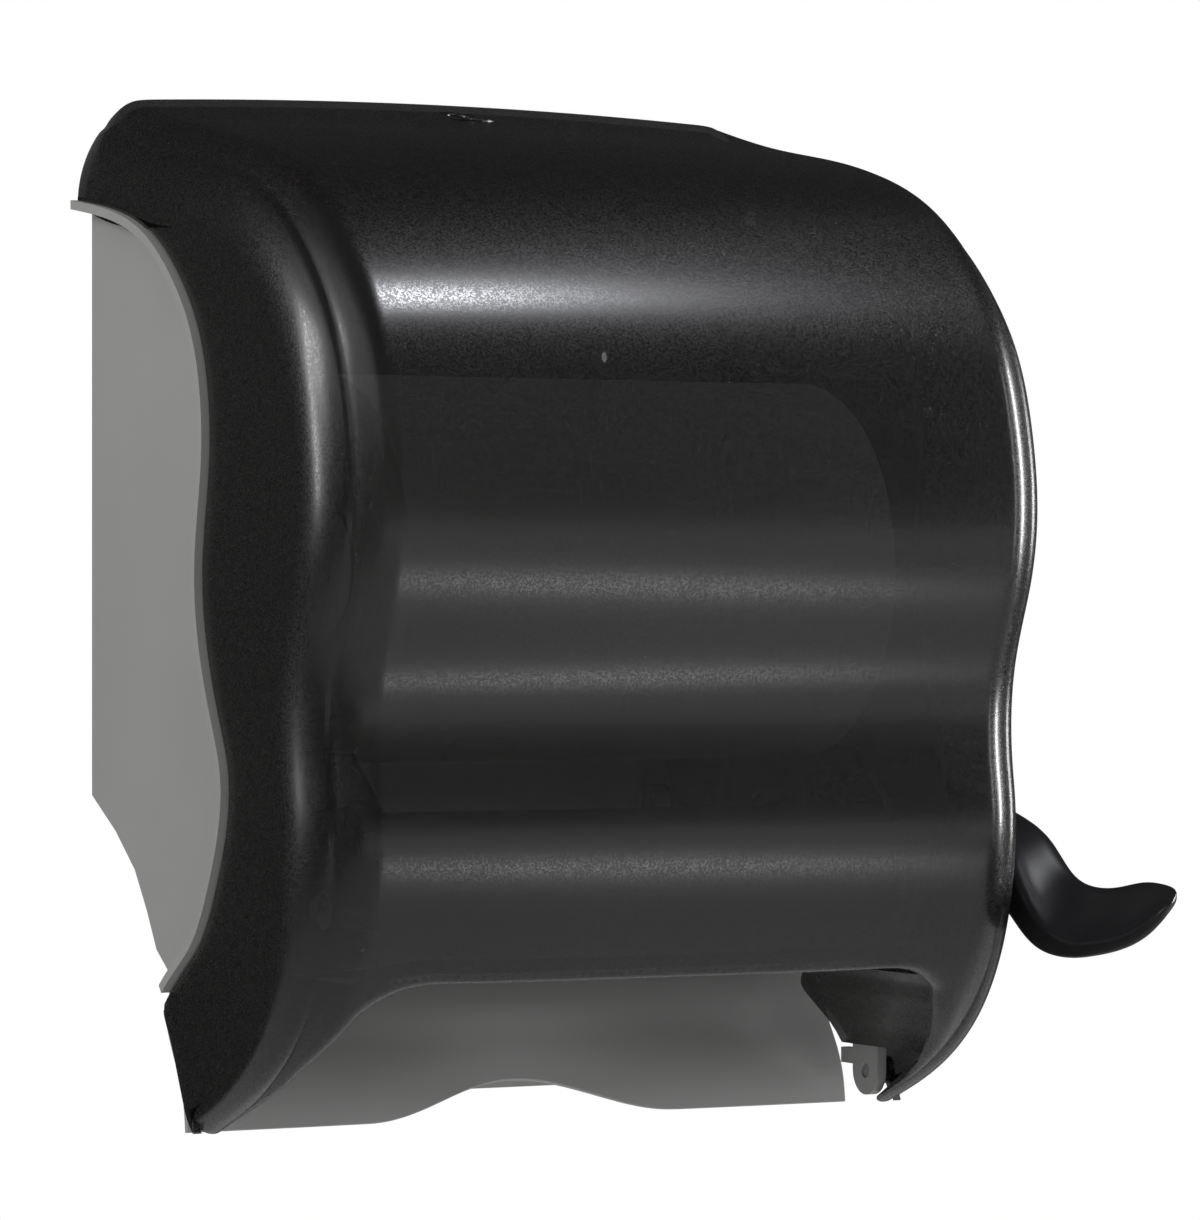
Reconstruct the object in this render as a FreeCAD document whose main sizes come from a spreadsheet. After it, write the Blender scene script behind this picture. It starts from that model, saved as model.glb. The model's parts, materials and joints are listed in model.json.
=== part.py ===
import FreeCAD, Part
import math
import os
import Sketcher

# Lever paper towel dispenser, in millimetres.
# X is to the right as seen from the front, +Y goes into the wall and +Z is up.
# The wall is the plane Y = 0, and the origin is the centre of the four wall screws.
# Depths are measured out from the wall, so a depth is -Y.

Vector = FreeCAD.Vector
os.makedirs("parts", exist_ok=True)
doc = FreeCAD.newDocument("PaperTowelDispenser")
sheet = doc.addObject("Spreadsheet::Sheet", "Sizes")


# How far a cutting shape runs past the faces that it opens.
PAST = 1


# ---------------------------------------------------------------- named sizes

SIZES = [
    ("fit_gap", 0.05, "radial gap of a fixed pin, bush or screw in its hole"),
    ("running_gap", 0.1, "radial gap of a shaft that turns in its bearing"),
    ("seat_gap", 0.3, "gap between faces of pieces that move past each other"),
    # wall screws
    ("screw_spacing_x", 152.4, "wall screws, across"),
    ("screw_spacing_z", 203.2, "wall screws, up"),
    ("wall_hole_radius", 2.75, "hole for a wall screw"),
    ("wall_boss_radius", 8, "boss round a wall screw hole"),
    ("wall_boss_height", 3, "boss height above the back wall"),
    # chassis
    ("chassis_wall", 3, "thickness of the back wall and the side plates"),
    ("chassis_half_width", 144.9, "to the outer face of a side plate"),
    ("chassis_top", 188, "top of the back wall"),
    ("chassis_corner", 12, "round of the back wall's top corners"),
    ("wall_foot", -71, "lower edge of the back wall beside the tongue"),
    ("tongue_half_width", 104, "tongue that carries the chute"),
    ("tongue_foot", -190, "lower end of the tongue"),
    ("rim_reach", 8.9, "how far the rim stands out from the side plate"),
    ("rim_thickness", 3.5, "thickness of the rim"),
    ("rim_lap", 14, "how far a side plate runs on in front of the rim"),
    ("lug_radius", 9.5, "hinge lug"),
    ("lug_width", 3.9, "hinge lug, along its pin"),
    ("lug_root", -145, "top of the arm that carries the lug"),
    ("lug_heel_reach", 18.5, "how far the lug's heel runs back from the hinge axis"),
    ("lug_heel_top", -172, "top of that heel"),
    ("lug_heel_foot", -178, "underside of that heel"),
    ("plate_foot", -165, "lower end of a side plate"),
    ("hinge_depth", 104, "hinge axis"),
    ("hinge_height", -180, "hinge axis"),
    ("hinge_pin_radius", 3, "hinge pin"),
    ("hinge_boss_radius", 8, "boss inside the cover round the hinge pin"),
    ("hinge_boss_inner", 142.3, "inner face of that boss, from the middle"),
    ("hinge_pin_inner", 138.5, "inner end of a hinge pin"),
    ("hinge_pin_outer", 149.3, "outer end of a hinge pin"),
    # cover
    ("cover_half_width", 151, "outer half width"),
    ("cover_wall", 3, "shell thickness"),
    ("cover_corner", 28, "round of the ends over the roof and the front"),
    ("toe_corner", 7, "round of the ends at the toes"),
    ("panel_half_width", 139.5, "raised front panel between the two pillars"),
    ("panel_raise", 4, "raise of the panel at the front"),
    ("roof_raise", 1, "raise of the panel at the wall"),
    ("panel_edge_round", 3.5, "round of the panel's sides"),
    ("cover_gap", 1.2, "gap between the cover's rear edge and the rim"),
    ("opening_top", -134, "top edge of the towel opening"),
    ("opening_top_half_width", 118, "opening, at its top corners"),
    ("opening_mid_half_width", 127, "opening, where its sides turn"),
    ("opening_mid_height", -157, "opening, where its sides turn"),
    ("opening_foot_half_width", 136, "opening, at the chute's lower edge"),
    ("opening_foot_height", -192, "opening, at the chute's lower edge"),
    ("opening_corner", 28, "round of the opening's top corners"),
    ("return_depth", 12, "inward return of the opening's edge"),
    ("return_foot", -166, "lower end of that return"),
    ("side_wall_top", -139, "top of the deep walls beside the opening"),
    ("side_wall_foot", -171, "lower end of those walls"),
    # lock
    ("lock_depth", 24, "lock axis from the wall"),
    ("lock_boss_radius", 16, "boss under the roof"),
    ("lock_boss_foot", 172, "underside of the boss"),
    ("barrel_radius", 9.5, "lock barrel"),
    ("barrel_top", 186, "top of the barrel"),
    ("barrel_flange", 3, "flange thickness"),
    ("plug_radius", 6, "turning plug"),
    ("plug_slot_width", 1.4, "key slot"),
    ("plug_slot_length", 8, "key slot"),
    ("plug_slot_deep", 12, "key slot"),
    ("keyhole_radius", 4.5, "hole in the roof"),
    ("cam_thickness", 3, "lock cam"),
    ("cam_radius", 7, "lock cam's hub"),
    ("cam_width", 8, "lock cam's tongue"),
    ("cam_reach", 18, "lock cam's tongue, from the axis"),
    ("lock_screw_offset", 12.6, "lock screws, from the axis"),
    ("lock_screw_radius", 1.2, "lock screws"),
    ("lock_screw_head", 2.4, "lock screws, head radius"),
    ("lock_screw_length", 9, "lock screws, above the flange's underside"),
    ("keeper_near", 10, "keeper, side next to the lock"),
    ("keeper_far", 24, "keeper, far side"),
    ("keeper_shelf", 3, "keeper, thickness"),
    ("keeper_drop", 5, "keeper shelf, below the cam"),
    ("keeper_gap", 1, "between the cam and the keeper's lip"),
    # brackets
    ("bracket_inner", 105, "inner face of a roller bracket, from the middle"),
    ("bracket_thickness", 3, "roller bracket"),
    ("bracket_top", -52, "upper edge"),
    ("bracket_front", 174, "front edge"),
    ("bracket_brow", 150, "where the upper edge turns down"),
    ("bracket_brow_height", -72, "top of the front edge"),
    ("bracket_foot", -128, "lower end of the front edge"),
    ("bracket_heel", -133, "lower edge at the wall"),
    ("foot_width", 12, "mounting foot of a bracket"),
    ("foot_thickness", 3, "mounting foot of a bracket"),
    ("foot_top", -64, "mounting foot of a bracket"),
    ("guide_thickness", 3, "front guide"),
    ("curl_height", 7, "curled top of the guide, at its end"),
    ("curl_high", 6, "curled top, over the guide"),
    ("curl_low", 3, "curled top, where it starts to turn"),
    ("curl_lean", 1, "how far the curl leans back at its middle"),
    ("curl_end", 1, "gap between the curl's ends and the brackets"),
    ("guide_foot", -128, "front guide, lower edge"),
    ("guide_top", -80, "front guide, where it curls back"),
    ("tab_length", 10, "side tab of the front guide"),
    ("tab_height", 10, "side tab of the front guide"),
    ("tab_thickness", 2, "side tab of the front guide"),
    ("tear_bar_thickness", 1.2, "steel strip"),
    ("tear_bar_top", -116, "steel strip"),
    ("tear_bar_root", -132.5, "steel strip, roots of the teeth"),
    ("tear_tooth_height", 2.5, "teeth"),
    ("tear_tooth_pitch", 4, "teeth"),
    ("tear_bar_half_width", 104, "steel strip"),
    ("tear_screw_spacing", 80, "screws along the steel strip"),
    # feed roller
    ("feed_depth", 130, "feed shaft axis"),
    ("feed_height", -110, "feed shaft axis"),
    ("feed_shaft_radius", 4, "feed shaft"),
    ("feed_shaft_left", 112, "feed shaft, left end"),
    ("feed_shaft_right", 126, "feed shaft, right end"),
    ("drum_radius", 15, "feed drum"),
    ("drum_half_width", 100, "feed drum"),
    ("grip_radius", 19, "rubber rings"),
    ("grip_width", 30, "rubber rings"),
    ("grip_spacing", 60, "rubber rings"),
    ("bush_radius", 7, "bushes"),
    ("bush_flange_radius", 9, "bushes"),
    ("bush_flange", 1.8, "bushes, flange thickness"),
    ("clip_radius", 6, "shaft clips"),
    ("clip_thickness", 1, "shaft clips"),
    # drive
    ("gear_left", 114, "gears, left face"),
    ("gear_width", 8, "gears"),
    ("gear_module", 1.5, "gears"),
    ("pinion_teeth", 16, "teeth of the pinion"),
    ("sector_teeth", 11, "teeth on the sector"),
    ("backlash", 0.3, "gears, at the pitch line"),
    ("clutch_radius", 6, "one-way clutch"),
    ("hub_radius", 11, "hub of the sector"),
    ("hub_side", 2, "how far that hub stands out on each side"),
    ("lever_depth", 77, "lever shaft axis"),
    ("lever_height", -76, "lever shaft axis"),
    ("lever_shaft_radius", 5, "lever shaft"),
    ("lever_hub_inner", 155, "lever hub, inner face"),
    ("lever_hub_outer", 172, "lever hub, outer face"),
    ("lever_hub_radius", 16.5, "lever hub"),
    ("lever_neck_radius", 11, "neck between hub and side plate"),
    ("lever_screw_radius", 2.5, "lever screw"),
    ("lever_screw_head", 7, "lever screw, head radius"),
    ("lever_screw_head_height", 3, "lever screw"),
    ("lever_screw_length", 14, "lever screw, under its head"),
    ("lever_end_wall", 4, "lever wall under the screw head"),
    ("bumper_radius", 4, "rubber stops"),
    ("bumper_length", 12, "rubber stops"),
    ("bumper_reach", 38, "rubber stops, from the lever shaft"),
    ("press_angle", 40, "travel of the lever"),
    ("return_coil_radius", 8.5, "return spring, mean radius"),
    ("return_wire_radius", 1, "return spring"),
    ("return_turns", 3, "return spring"),
    ("return_left", 127.5, "return spring, first coil"),
    ("return_right", 135.5, "return spring, last coil"),
    ("spring_leg_reach", 27, "return spring, end of a leg from the axis"),
    ("sector_peg_reach", 24, "peg on the sector, from the axis"),
    ("sector_peg_angle", -10, "peg on the sector, above the level"),
    ("sector_peg_radius", 2, "peg on the sector"),
    ("sector_peg_end", 131, "peg on the sector"),
    ("plate_peg_depth", 60, "peg on the side plate"),
    ("plate_peg_height", -60, "peg on the side plate"),
    ("plate_peg_radius", 3, "peg on the side plate"),
    ("plate_peg_end", 130, "peg on the side plate"),
    # pinch roller
    ("pinch_radius", 9, "pinch roller"),
    ("pinch_half_width", 98, "pinch roller"),
    ("pinch_shaft_radius", 3, "pinch shaft"),
    ("pinch_shaft_half_length", 104, "pinch shaft"),
    ("yoke_pivot_rise", 32, "yoke pivot above the pinch shaft"),
    ("yoke_arm_inner", 101.2, "yoke arms, inner face from the middle"),
    ("yoke_arm_thickness", 2, "yoke arms"),
    ("yoke_arm_half_width", 5.5, "yoke arms"),
    ("yoke_bar_thickness", 4, "bar between the arms"),
    ("yoke_bar_top", -84, "bar between the arms"),
    ("yoke_bar_foot", -98, "bar between the arms"),
    ("yoke_pin_radius", 2.5, "yoke pins"),
    ("yoke_pin_head", 4, "yoke pins, head radius"),
    ("pinch_spring_x", 70, "pinch springs, from the middle"),
    ("pinch_spring_radius", 3.5, "pinch springs, mean radius"),
    ("pinch_wire_radius", 0.5, "pinch springs"),
    ("pinch_turns", 6, "pinch springs"),
    # roll and its arms
    ("roll_depth", 117, "roll axis"),
    ("roll_height", 15.4, "roll axis"),
    ("roll_radius", 72, "part used roll"),
    ("roll_half_width", 101.5, "roll"),
    ("core_bore_radius", 19.05, "cardboard core"),
    ("core_wall", 1.4, "cardboard core"),
    ("arm_inner", 106, "roll arm, inner face from the middle"),
    ("arm_thickness", 4, "roll arm"),
    ("arm_half_height", 15.5, "roll arm"),
    ("arm_pin_depth", 12, "arm pin axis"),
    ("arm_pin_radius", 2, "arm pin"),
    ("knuckle_radius", 5, "arm knuckle"),
    ("knuckle_height", 26, "arm knuckle"),
    ("knuckle_clear", 8, "from the pin to the tall part of the arm"),
    ("ear_thickness", 6, "ears of an arm bracket"),
    ("ear_width", 12, "ears of an arm bracket"),
    ("ear_spacing", 43, "clear height between the ears"),
    ("base_thickness", 2.5, "base of an arm bracket"),
    ("base_width", 20, "base of an arm bracket"),
    ("base_end", 13, "base, beyond an ear"),
    ("hub_flange_radius", 24, "roll hub, flange"),
    ("hub_flange", 4, "roll hub, flange thickness"),
    ("hub_gap", 0.5, "roll hub to the end of the roll"),
    ("hub_base_radius", 18.6, "roll hub, cone"),
    ("hub_tip_radius", 15.5, "roll hub, cone"),
    ("hub_length", 10, "roll hub, cone"),
    ("arm_coil_radius", 3.4, "arm springs, mean radius"),
    ("arm_wire_radius", 0.6, "arm springs"),
    ("arm_turns", 5, "arm springs"),
    # chute
    ("chute_half_width", 141.6, "chute"),
    ("chute_wall", 2.5, "chute"),
    ("chute_foot", -194, "chute, lower edge"),
    ("chute_lean", 1, "how far the chute's lower edge leans out"),
    ("web_half_width", 103.5, "web that ties the chute to the tongue"),
    ("flange_foot", -162, "chute flange on the tongue"),
    ("flange_top", -140, "chute flange on the tongue"),
    ("notch_half_width", 58, "finger notch"),
    ("notch_height", 13.5, "finger notch"),
    # frame screws
    ("frame_screw_radius", 2, "frame screws"),
    ("frame_screw_head", 4, "frame screws, head radius"),
    ("frame_screw_head_height", 2.5, "frame screws"),
    ("bracket_screw_high", -75, "bracket foot, upper screw"),
    ("bracket_screw_low", -117, "bracket foot, lower screw"),
    ("chute_screw_x", 60, "chute screws, from the middle"),
    ("chute_screw_height", -152, "chute screws"),
    ("small_screw_radius", 1.5, "guide and tear bar screws"),
    ("small_screw_head", 3, "guide and tear bar screws, head radius"),
    ("small_screw_head_height", 2, "guide and tear bar screws"),
]

# Outlines seen from the right: a name, a depth and a height for each point.
COVER_PROFILE = [
    ("roof_wall", 0, 199), ("roof_rear", 58.3, 184.7), ("roof_mid", 117, 173), ("roof_front", 164, 154),
    ("brow", 194, 128), ("cheek_top", 214, 100.6), ("cheek", 225, 68.6), ("nose", 228.6, 35),
    ("nose_under", 223.6, 6.5), ("bridge", 212.8, -23.4), ("waist", 211, -55), ("belly", 213.3, -74),
    ("jaw", 196, -130.5), ("chin", 173, -158), ("heel", 140.6, -179), ("toe", 110, -192), ("toe_end", 60, -212),
]
RIM_PROFILE = [
    ("rim_wall", 0, 157), ("rim_roof", 29, 152.5), ("rim_slope", 72, 139.3), ("rim_shoulder", 95, 123.3),
    ("rim_turn", 113.2, 102.2), ("rim_top", 122.2, 76.4), ("rim_high", 123, 56), ("rim_waist", 116.8, 15.3),
    ("rim_low", 118.6, -5), ("rim_flare", 132, -40.9), ("rim_belly", 140, -61), ("rim_under", 138.2, -79.4),
    ("rim_hip", 129.3, -100), ("rim_foot", 115, -121), ("rim_heel", 99.6, -132.2), ("rim_end", 86.7, -141.4),
]
PLATE_UNDERSIDE = [
    ("under_wall", 0, -71), ("under_rear", 23, -84), ("under_mid", 41.5, -98), ("under_front", 53, -113),
    ("under_arm", 62, -127), ("under_tab", 76, -136.5), ("arm_top", 84.5, -145), ("arm_mid", 88, -156),
]
COVER_TAIL = [
    ("tail_start", 81.5, -146), ("tail_high", 84, -155.4), ("tail_mid", 92.2, -169.6), ("tail_low", 98.6, -183.8),
    ("tail_toe", 103, -188), ("tail_end", 110, -194),
]
CHUTE_PROFILE = [
    ("chute_top", 53, -147), ("chute_bend", 68, -161), ("chute_knee", 77, -173), ("chute_lip", 82, -186),
]
# Lever sections: depth, then the heights of its lower edge near the cover and away from it, its upper edge
# near the cover and away from it, and its two sides.
LEVER_SECTIONS = [
    ("arm", 77, -91, -91, -61, -61, 155, 172),
    ("shank", 110, -94, -94, -64, -64, 155, 173),
    ("neck", 140, -99, -99, -71.5, -71.5, 155, 175),
    ("throat", 160, -107, -103, -82, -76.5, 155, 177),
    ("dish", 178, -118, -107, -93, -84.5, 155, 178),
    ("bowl", 192, -127.5, -112, -106, -96.5, 155, 178),
    ("basin", 207, -131.8, -114, -118.5, -101.3, 155, 178),
    ("pad", 222, -132.3, -113, -122.8, -101, 155, 178),
    ("palm", 240, -130.6, -110, -122, -98.3, 155, 178),
    ("rise", 256, -127, -108.5, -119, -98.6, 157.5, 176),
    ("tip", 268, -121, -108, -113, -100.5, 160.5, 173),
    ("end", 275.5, -113, -107, -107.8, -103.5, 164, 169.5),
]
LEVER_FIELDS = ["depth", "low_near", "low_far", "top_near", "top_far", "near", "far"]
# A lever section's rounded corners take these shares of its width and height, and its top sinks by the last.
CORNER_WIDTH = 0.12
CORNER_HEIGHT = 0.3
TOP_HOLLOW = 0.16


class Term:
    """A named size or a sum of them: its number, and the sheet expression that says the same."""

    def __init__(self, number, text):
        self.number = float(number)
        self.text = text

    def __float__(self):
        return self.number

    def __neg__(self):
        return Term(-self.number, "(0 - %s)" % self.text)

    def __add__(self, other):
        return Term(self.number + float(other), "(%s + %s)" % (self.text, text_of(other)))

    def __radd__(self, other):
        return Term(float(other) + self.number, "(%s + %s)" % (text_of(other), self.text))

    def __sub__(self, other):
        return Term(self.number - float(other), "(%s - %s)" % (self.text, text_of(other)))

    def __rsub__(self, other):
        return Term(float(other) - self.number, "(%s - %s)" % (text_of(other), self.text))

    def __mul__(self, other):
        return Term(self.number * float(other), "(%s * %s)" % (self.text, text_of(other)))

    def __rmul__(self, other):
        return Term(float(other) * self.number, "(%s * %s)" % (text_of(other), self.text))

    def __truediv__(self, other):
        return Term(self.number / float(other), "(%s / %s)" % (self.text, text_of(other)))


def text_of(value):
    """The expression of a size, or a plain number as text."""
    return value.text if isinstance(value, Term) else "(%r)" % float(value)


class Sizes:
    """The rows of the sheet, each reached by its name."""

    def __init__(self):
        self.row = 0

    def add(self, name, value, note):
        self.row += 1
        sheet.set("A%d" % self.row, note)
        sheet.set("B%d" % self.row, str(value))
        sheet.setAlias("B%d" % self.row, name)
        setattr(self, name, Term(value, "Sizes." + name))

    def add_profile(self, rows):
        """Two sizes for each point; returns the points as (depth, height) pairs."""
        points = []
        for name, depth, height in rows:
            self.add(name + "_depth", depth, name + ", from the wall")
            self.add(name + "_height", height, name + ", above the origin")
            points.append((getattr(self, name + "_depth"), getattr(self, name + "_height")))
        return points


S = Sizes()
for alias, number, meaning in SIZES:
    S.add(alias, number, meaning)
cover_points = S.add_profile(COVER_PROFILE)
rim_points = S.add_profile(RIM_PROFILE)
underside_points = S.add_profile(PLATE_UNDERSIDE)
tail_points = S.add_profile(COVER_TAIL)
chute_points = S.add_profile(CHUTE_PROFILE)
for row in LEVER_SECTIONS:
    for field, number in zip(LEVER_FIELDS, row[1:]):
        S.add("lever_%s_%s" % (row[0], field), number, "lever section %s" % row[0])
doc.recompute()


# ---------------------------------------------------------------- helpers

def bind(thing, **values):
    """Set properties, each tied to the sheet by its expression."""
    for name, value in values.items():
        setattr(thing, name, float(value))
        if isinstance(value, Term):
            thing.setExpression(name, value.text)


def place(thing, x, depth, z, turn=None):
    """Put an object at a point given by X, depth and Z, tied to the sheet."""
    y = -depth
    thing.Placement = FreeCAD.Placement(Vector(float(x), float(y), float(z)), turn or FreeCAD.Rotation())
    for axis, value in (("x", x), ("y", y), ("z", z)):
        if isinstance(value, Term):
            thing.setExpression("Placement.Base." + axis, value.text)


def box(name, x, depth, z):
    """A block between two X values, two depths and two heights, low value first."""
    block = doc.addObject("Part::Box", name)
    bind(block, Length=x[1] - x[0], Width=depth[1] - depth[0], Height=z[1] - z[0])
    place(block, x[0], depth[1], z[0])
    return block


def rod_x(name, x, depth, z, radius):
    """A cylinder along X between two X values."""
    rod = doc.addObject("Part::Cylinder", name)
    bind(rod, Radius=radius, Height=x[1] - x[0])
    place(rod, x[0], depth, z, FreeCAD.Rotation(Vector(0, 1, 0), 90))
    return rod


def rod_y(name, x, depth, z, radius):
    """A cylinder along the depth, between two depths."""
    rod = doc.addObject("Part::Cylinder", name)
    bind(rod, Radius=radius, Height=depth[1] - depth[0])
    place(rod, x, depth[0], z, FreeCAD.Rotation(Vector(1, 0, 0), 90))
    return rod


def rod_z(name, x, depth, z, radius):
    """An upright cylinder between two heights."""
    rod = doc.addObject("Part::Cylinder", name)
    bind(rod, Radius=radius, Height=z[1] - z[0])
    place(rod, x, depth, z[0])
    return rod


def fuse(name, *shapes):
    whole = doc.addObject("Part::MultiFuse", name)
    whole.Shapes = list(shapes)
    return whole


def cut(name, base, *tools):
    result = doc.addObject("Part::Cut", name)
    result.Base = base
    result.Tool = tools[0] if len(tools) == 1 else fuse(name + "_tools", *tools)
    return result


def group(name, *shapes):
    """Several equal pieces kept as separate solids in one sub-part."""
    whole = doc.addObject("Part::Compound", name)
    whole.Links = list(shapes)
    return whole


def shape_object(name, shape, at=Vector()):
    """A piece whose shape is worked out from the sheet by Part's own functions, put at a point."""
    thing = doc.addObject("Part::Feature", name)
    thing.Shape = shape
    thing.Placement = FreeCAD.Placement(at, FreeCAD.Rotation())
    return thing


def draw(body, role, name, outline, level, circles=()):
    """A sketch on an origin plane: a closed outline and round holes, every point tied to the sheet."""
    sketch = body.newObject("Sketcher::SketchObject", name)
    plane = [item for item in body.Origin.OriginFeatures if item.Role == role][0]
    sketch.AttachmentSupport = [(plane, "")]
    sketch.MapMode = "FlatFace"
    corners = [Vector(float(across), float(up), 0) for across, up in outline]
    for start, end in zip(corners, corners[1:] + corners[:1]):
        sketch.addGeometry(Part.LineSegment(start, end))
    count = len(corners)
    for index in range(count):
        sketch.addConstraint(Sketcher.Constraint("Coincident", index, 2, (index + 1) % count, 1))
    for index, (across, up) in enumerate(outline):
        hold(sketch, "DistanceX", across, index, 1)
        hold(sketch, "DistanceY", up, index, 1)
    for across, up, radius in circles:
        index = sketch.addGeometry(Part.Circle(Vector(float(across), float(up), 0), Vector(0, 0, 1), float(radius)))
        hold(sketch, "DistanceX", across, index, 3)
        hold(sketch, "DistanceY", up, index, 3)
        size = sketch.addConstraint(Sketcher.Constraint("Radius", index, float(radius)))
        sketch.setExpression("Constraints[%d]" % size, text_of(radius))
    sketch.AttachmentOffset = FreeCAD.Placement(Vector(0, 0, float(level)), FreeCAD.Rotation())
    if isinstance(level, Term):
        sketch.setExpression("AttachmentOffset.Base.z", level.text)
    return sketch


def hold(sketch, kind, value, index, point):
    """Fix one coordinate of a sketch point from the sketch's origin."""
    number = sketch.addConstraint(Sketcher.Constraint(kind, -1, 1, index, point, float(value)))
    if isinstance(value, Term):
        sketch.setExpression("Constraints[%d]" % number, value.text)


def side_plate(name, x, outline, holes=()):
    """A flat plate across X, from an outline and holes given as depths and heights."""
    body = doc.addObject("PartDesign::Body", name)
    flipped = [(-depth, height) for depth, height in outline]
    circles = [(-depth, height, radius) for depth, height, radius in holes]
    sketch = draw(body, "YZ_Plane", name + "_outline", flipped, x[0], circles)
    pad = body.newObject("PartDesign::Pad", name + "_pad")
    pad.Profile = sketch
    bind(pad, Length=x[1] - x[0])
    body.Tip = pad
    return body


def front_plate(name, depth, outline):
    """A flat plate across the depth, from an outline given as X and height."""
    body = doc.addObject("PartDesign::Body", name)
    sketch = draw(body, "XZ_Plane", name + "_outline", outline, depth[0])
    pad = body.newObject("PartDesign::Pad", name + "_pad")
    pad.Profile = sketch
    bind(pad, Length=depth[1] - depth[0])
    body.Tip = pad
    return body


def both_sides(x):
    """The pair of X ranges on the right and on the left."""
    return (("right", x), ("left", (-x[1], -x[0])))


def side_curve(points):
    """A smooth curve through points given as depths and heights."""
    curve = Part.BSplineCurve()
    curve.interpolate([Vector(0, -float(depth), float(height)) for depth, height in points])
    return curve


def beside(points, distance):
    """Points at a distance to the left of a curve as it is followed; the distance may depend on the depth."""
    curve = side_curve(points)
    steps = 3 * (len(points) - 1)
    result = []
    for step in range(steps + 1):
        share = step / steps
        here = curve.FirstParameter + share * (curve.LastParameter - curve.FirstParameter)
        point = curve.value(here)
        along = curve.tangent(here)[0]
        depth, height = -point.y, point.z
        away = distance(depth) if callable(distance) else float(distance)
        result.append((depth - along.z * away, height - along.y * away))
    return result


def side_prism(edges, x):
    """A solid across X from the edges of a closed outline in the side plane."""
    face = Part.Face(Part.Wire(Part.__sortEdges__(edges)))
    face.translate(Vector(float(x[0]), 0, 0))
    return face.extrude(Vector(float(x[1]) - float(x[0]), 0, 0))


def strip(points, thickness, x):
    """A bent strip: a curve, and the same curve moved to its right by the thickness."""
    outer = side_curve(points)
    inner = side_curve(beside(points, -float(thickness)))
    ends = [Part.makeLine(outer.StartPoint, inner.StartPoint), Part.makeLine(outer.EndPoint, inner.EndPoint)]
    return side_prism([outer.toShape(), inner.toShape()] + ends, x)


def side_point(depth, height):
    return Vector(0, -float(depth), float(height))


def coil(radius, wire, length, turns):
    """A helical spring about Z, from the height 0 to its length."""
    helix = Part.makeHelix(float(length) / float(turns), float(length), float(radius))
    section = Part.Wire(Part.makeCircle(float(wire), Vector(float(radius), 0, 0), Vector(0, 1, 0)))
    return Part.Wire(helix.Edges).makePipeShell([section], True, True)


NODES = []


def node(thing):
    """Keep a finished sub-part; its label is the name of its file."""
    thing.Label = thing.Name
    NODES.append(thing)
    return thing


# ---------------------------------------------------------------- cover

def rear_lines(start, end):
    """The edges that close a cover profile behind the wall plane."""
    behind = float(S.cover_wall)
    corners = [end, Vector(0, behind, end.z), Vector(0, behind, start.z), start]
    return [Part.makeLine(a, b) for a, b in zip(corners, corners[1:])]


def rounded_block(name, points, half_width, split, corner, toe_corner):
    """The block under a profile, from behind the wall plane, with rounded ends.

    The round is even down to the split point and then narrows to the toe.
    """
    profile = side_curve(points)
    middle = profile.parameter(side_point(*split))
    upper = profile.toShape(profile.FirstParameter, middle)
    lower = profile.toShape(middle, profile.LastParameter)
    edges = [upper, lower] + rear_lines(profile.StartPoint, profile.EndPoint)
    block = shape_object(name + "_block", side_prism(edges, (-half_width, half_width)))
    rounds = []
    for number, edge in enumerate(block.Shape.Edges, 1):
        box_of = edge.BoundBox
        if box_of.XLength > 0.001 or abs(abs(box_of.XMin) - half_width) > 0.001:
            continue
        if abs(edge.Length - upper.Length) < 0.001:
            rounds.append((number, corner, corner))
        elif abs(edge.Length - lower.Length) < 0.001:
            rounds.append((number, corner, toe_corner))
    fillet = doc.addObject("Part::Fillet", name)
    fillet.Base = block
    fillet.Edges = rounds
    doc.recompute()
    return fillet.Shape


def panel_raise(depth):
    """How far the middle panel stands above the pillars at a depth."""
    share = min(1.0, max(0.0, depth / float(S.nose_depth)))
    return float(S.roof_raise) + share * (float(S.panel_raise) - float(S.roof_raise))


def split_at(points):
    """The belly's place on a moved copy of the cover's profile."""
    curve = side_curve(points)
    near = curve.value(curve.parameter(side_point(S.belly_depth, S.belly_height)))
    return (-near.y, near.z)


def cover_block(name, inward):
    """The cover's outer form, moved inward by a distance: pillars and the raised panel between them."""
    half = float(S.cover_half_width) - inward
    sides = beside(cover_points, -inward)
    panel = beside(cover_points, lambda depth: panel_raise(depth) - inward)
    pillars = rounded_block(name + "_pillars", sides, half, split_at(sides), float(S.cover_corner) - inward,
                            float(S.toe_corner) - inward)
    edge_round = float(S.panel_edge_round)
    middle = rounded_block(name + "_panel", panel, float(S.panel_half_width) - inward, split_at(panel),
                           edge_round, edge_round)
    return pillars.fuse(middle)


def opening_edges(grow):
    """The towel opening from the front, with its top corners rounded, made larger by a margin."""
    top = float(S.opening_top) + grow
    below = 2 * float(S.opening_foot_height)
    slope = float(S.opening_foot_half_width - S.opening_mid_half_width)
    slope = slope / float(S.opening_mid_height - S.opening_foot_height)
    reach = float(S.opening_foot_half_width) + slope * (float(S.opening_foot_height) - below)
    half = [(float(S.opening_top_half_width), top), (float(S.opening_mid_half_width) + grow,
            float(S.opening_mid_height)), (reach + grow, below)]
    corners = half + [(-x, z) for x, z in reversed(half)]
    points = [Vector(x, 0, z) for x, z in corners]
    return Part.Face(Part.makePolygon(points + points[:1]))


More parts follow.
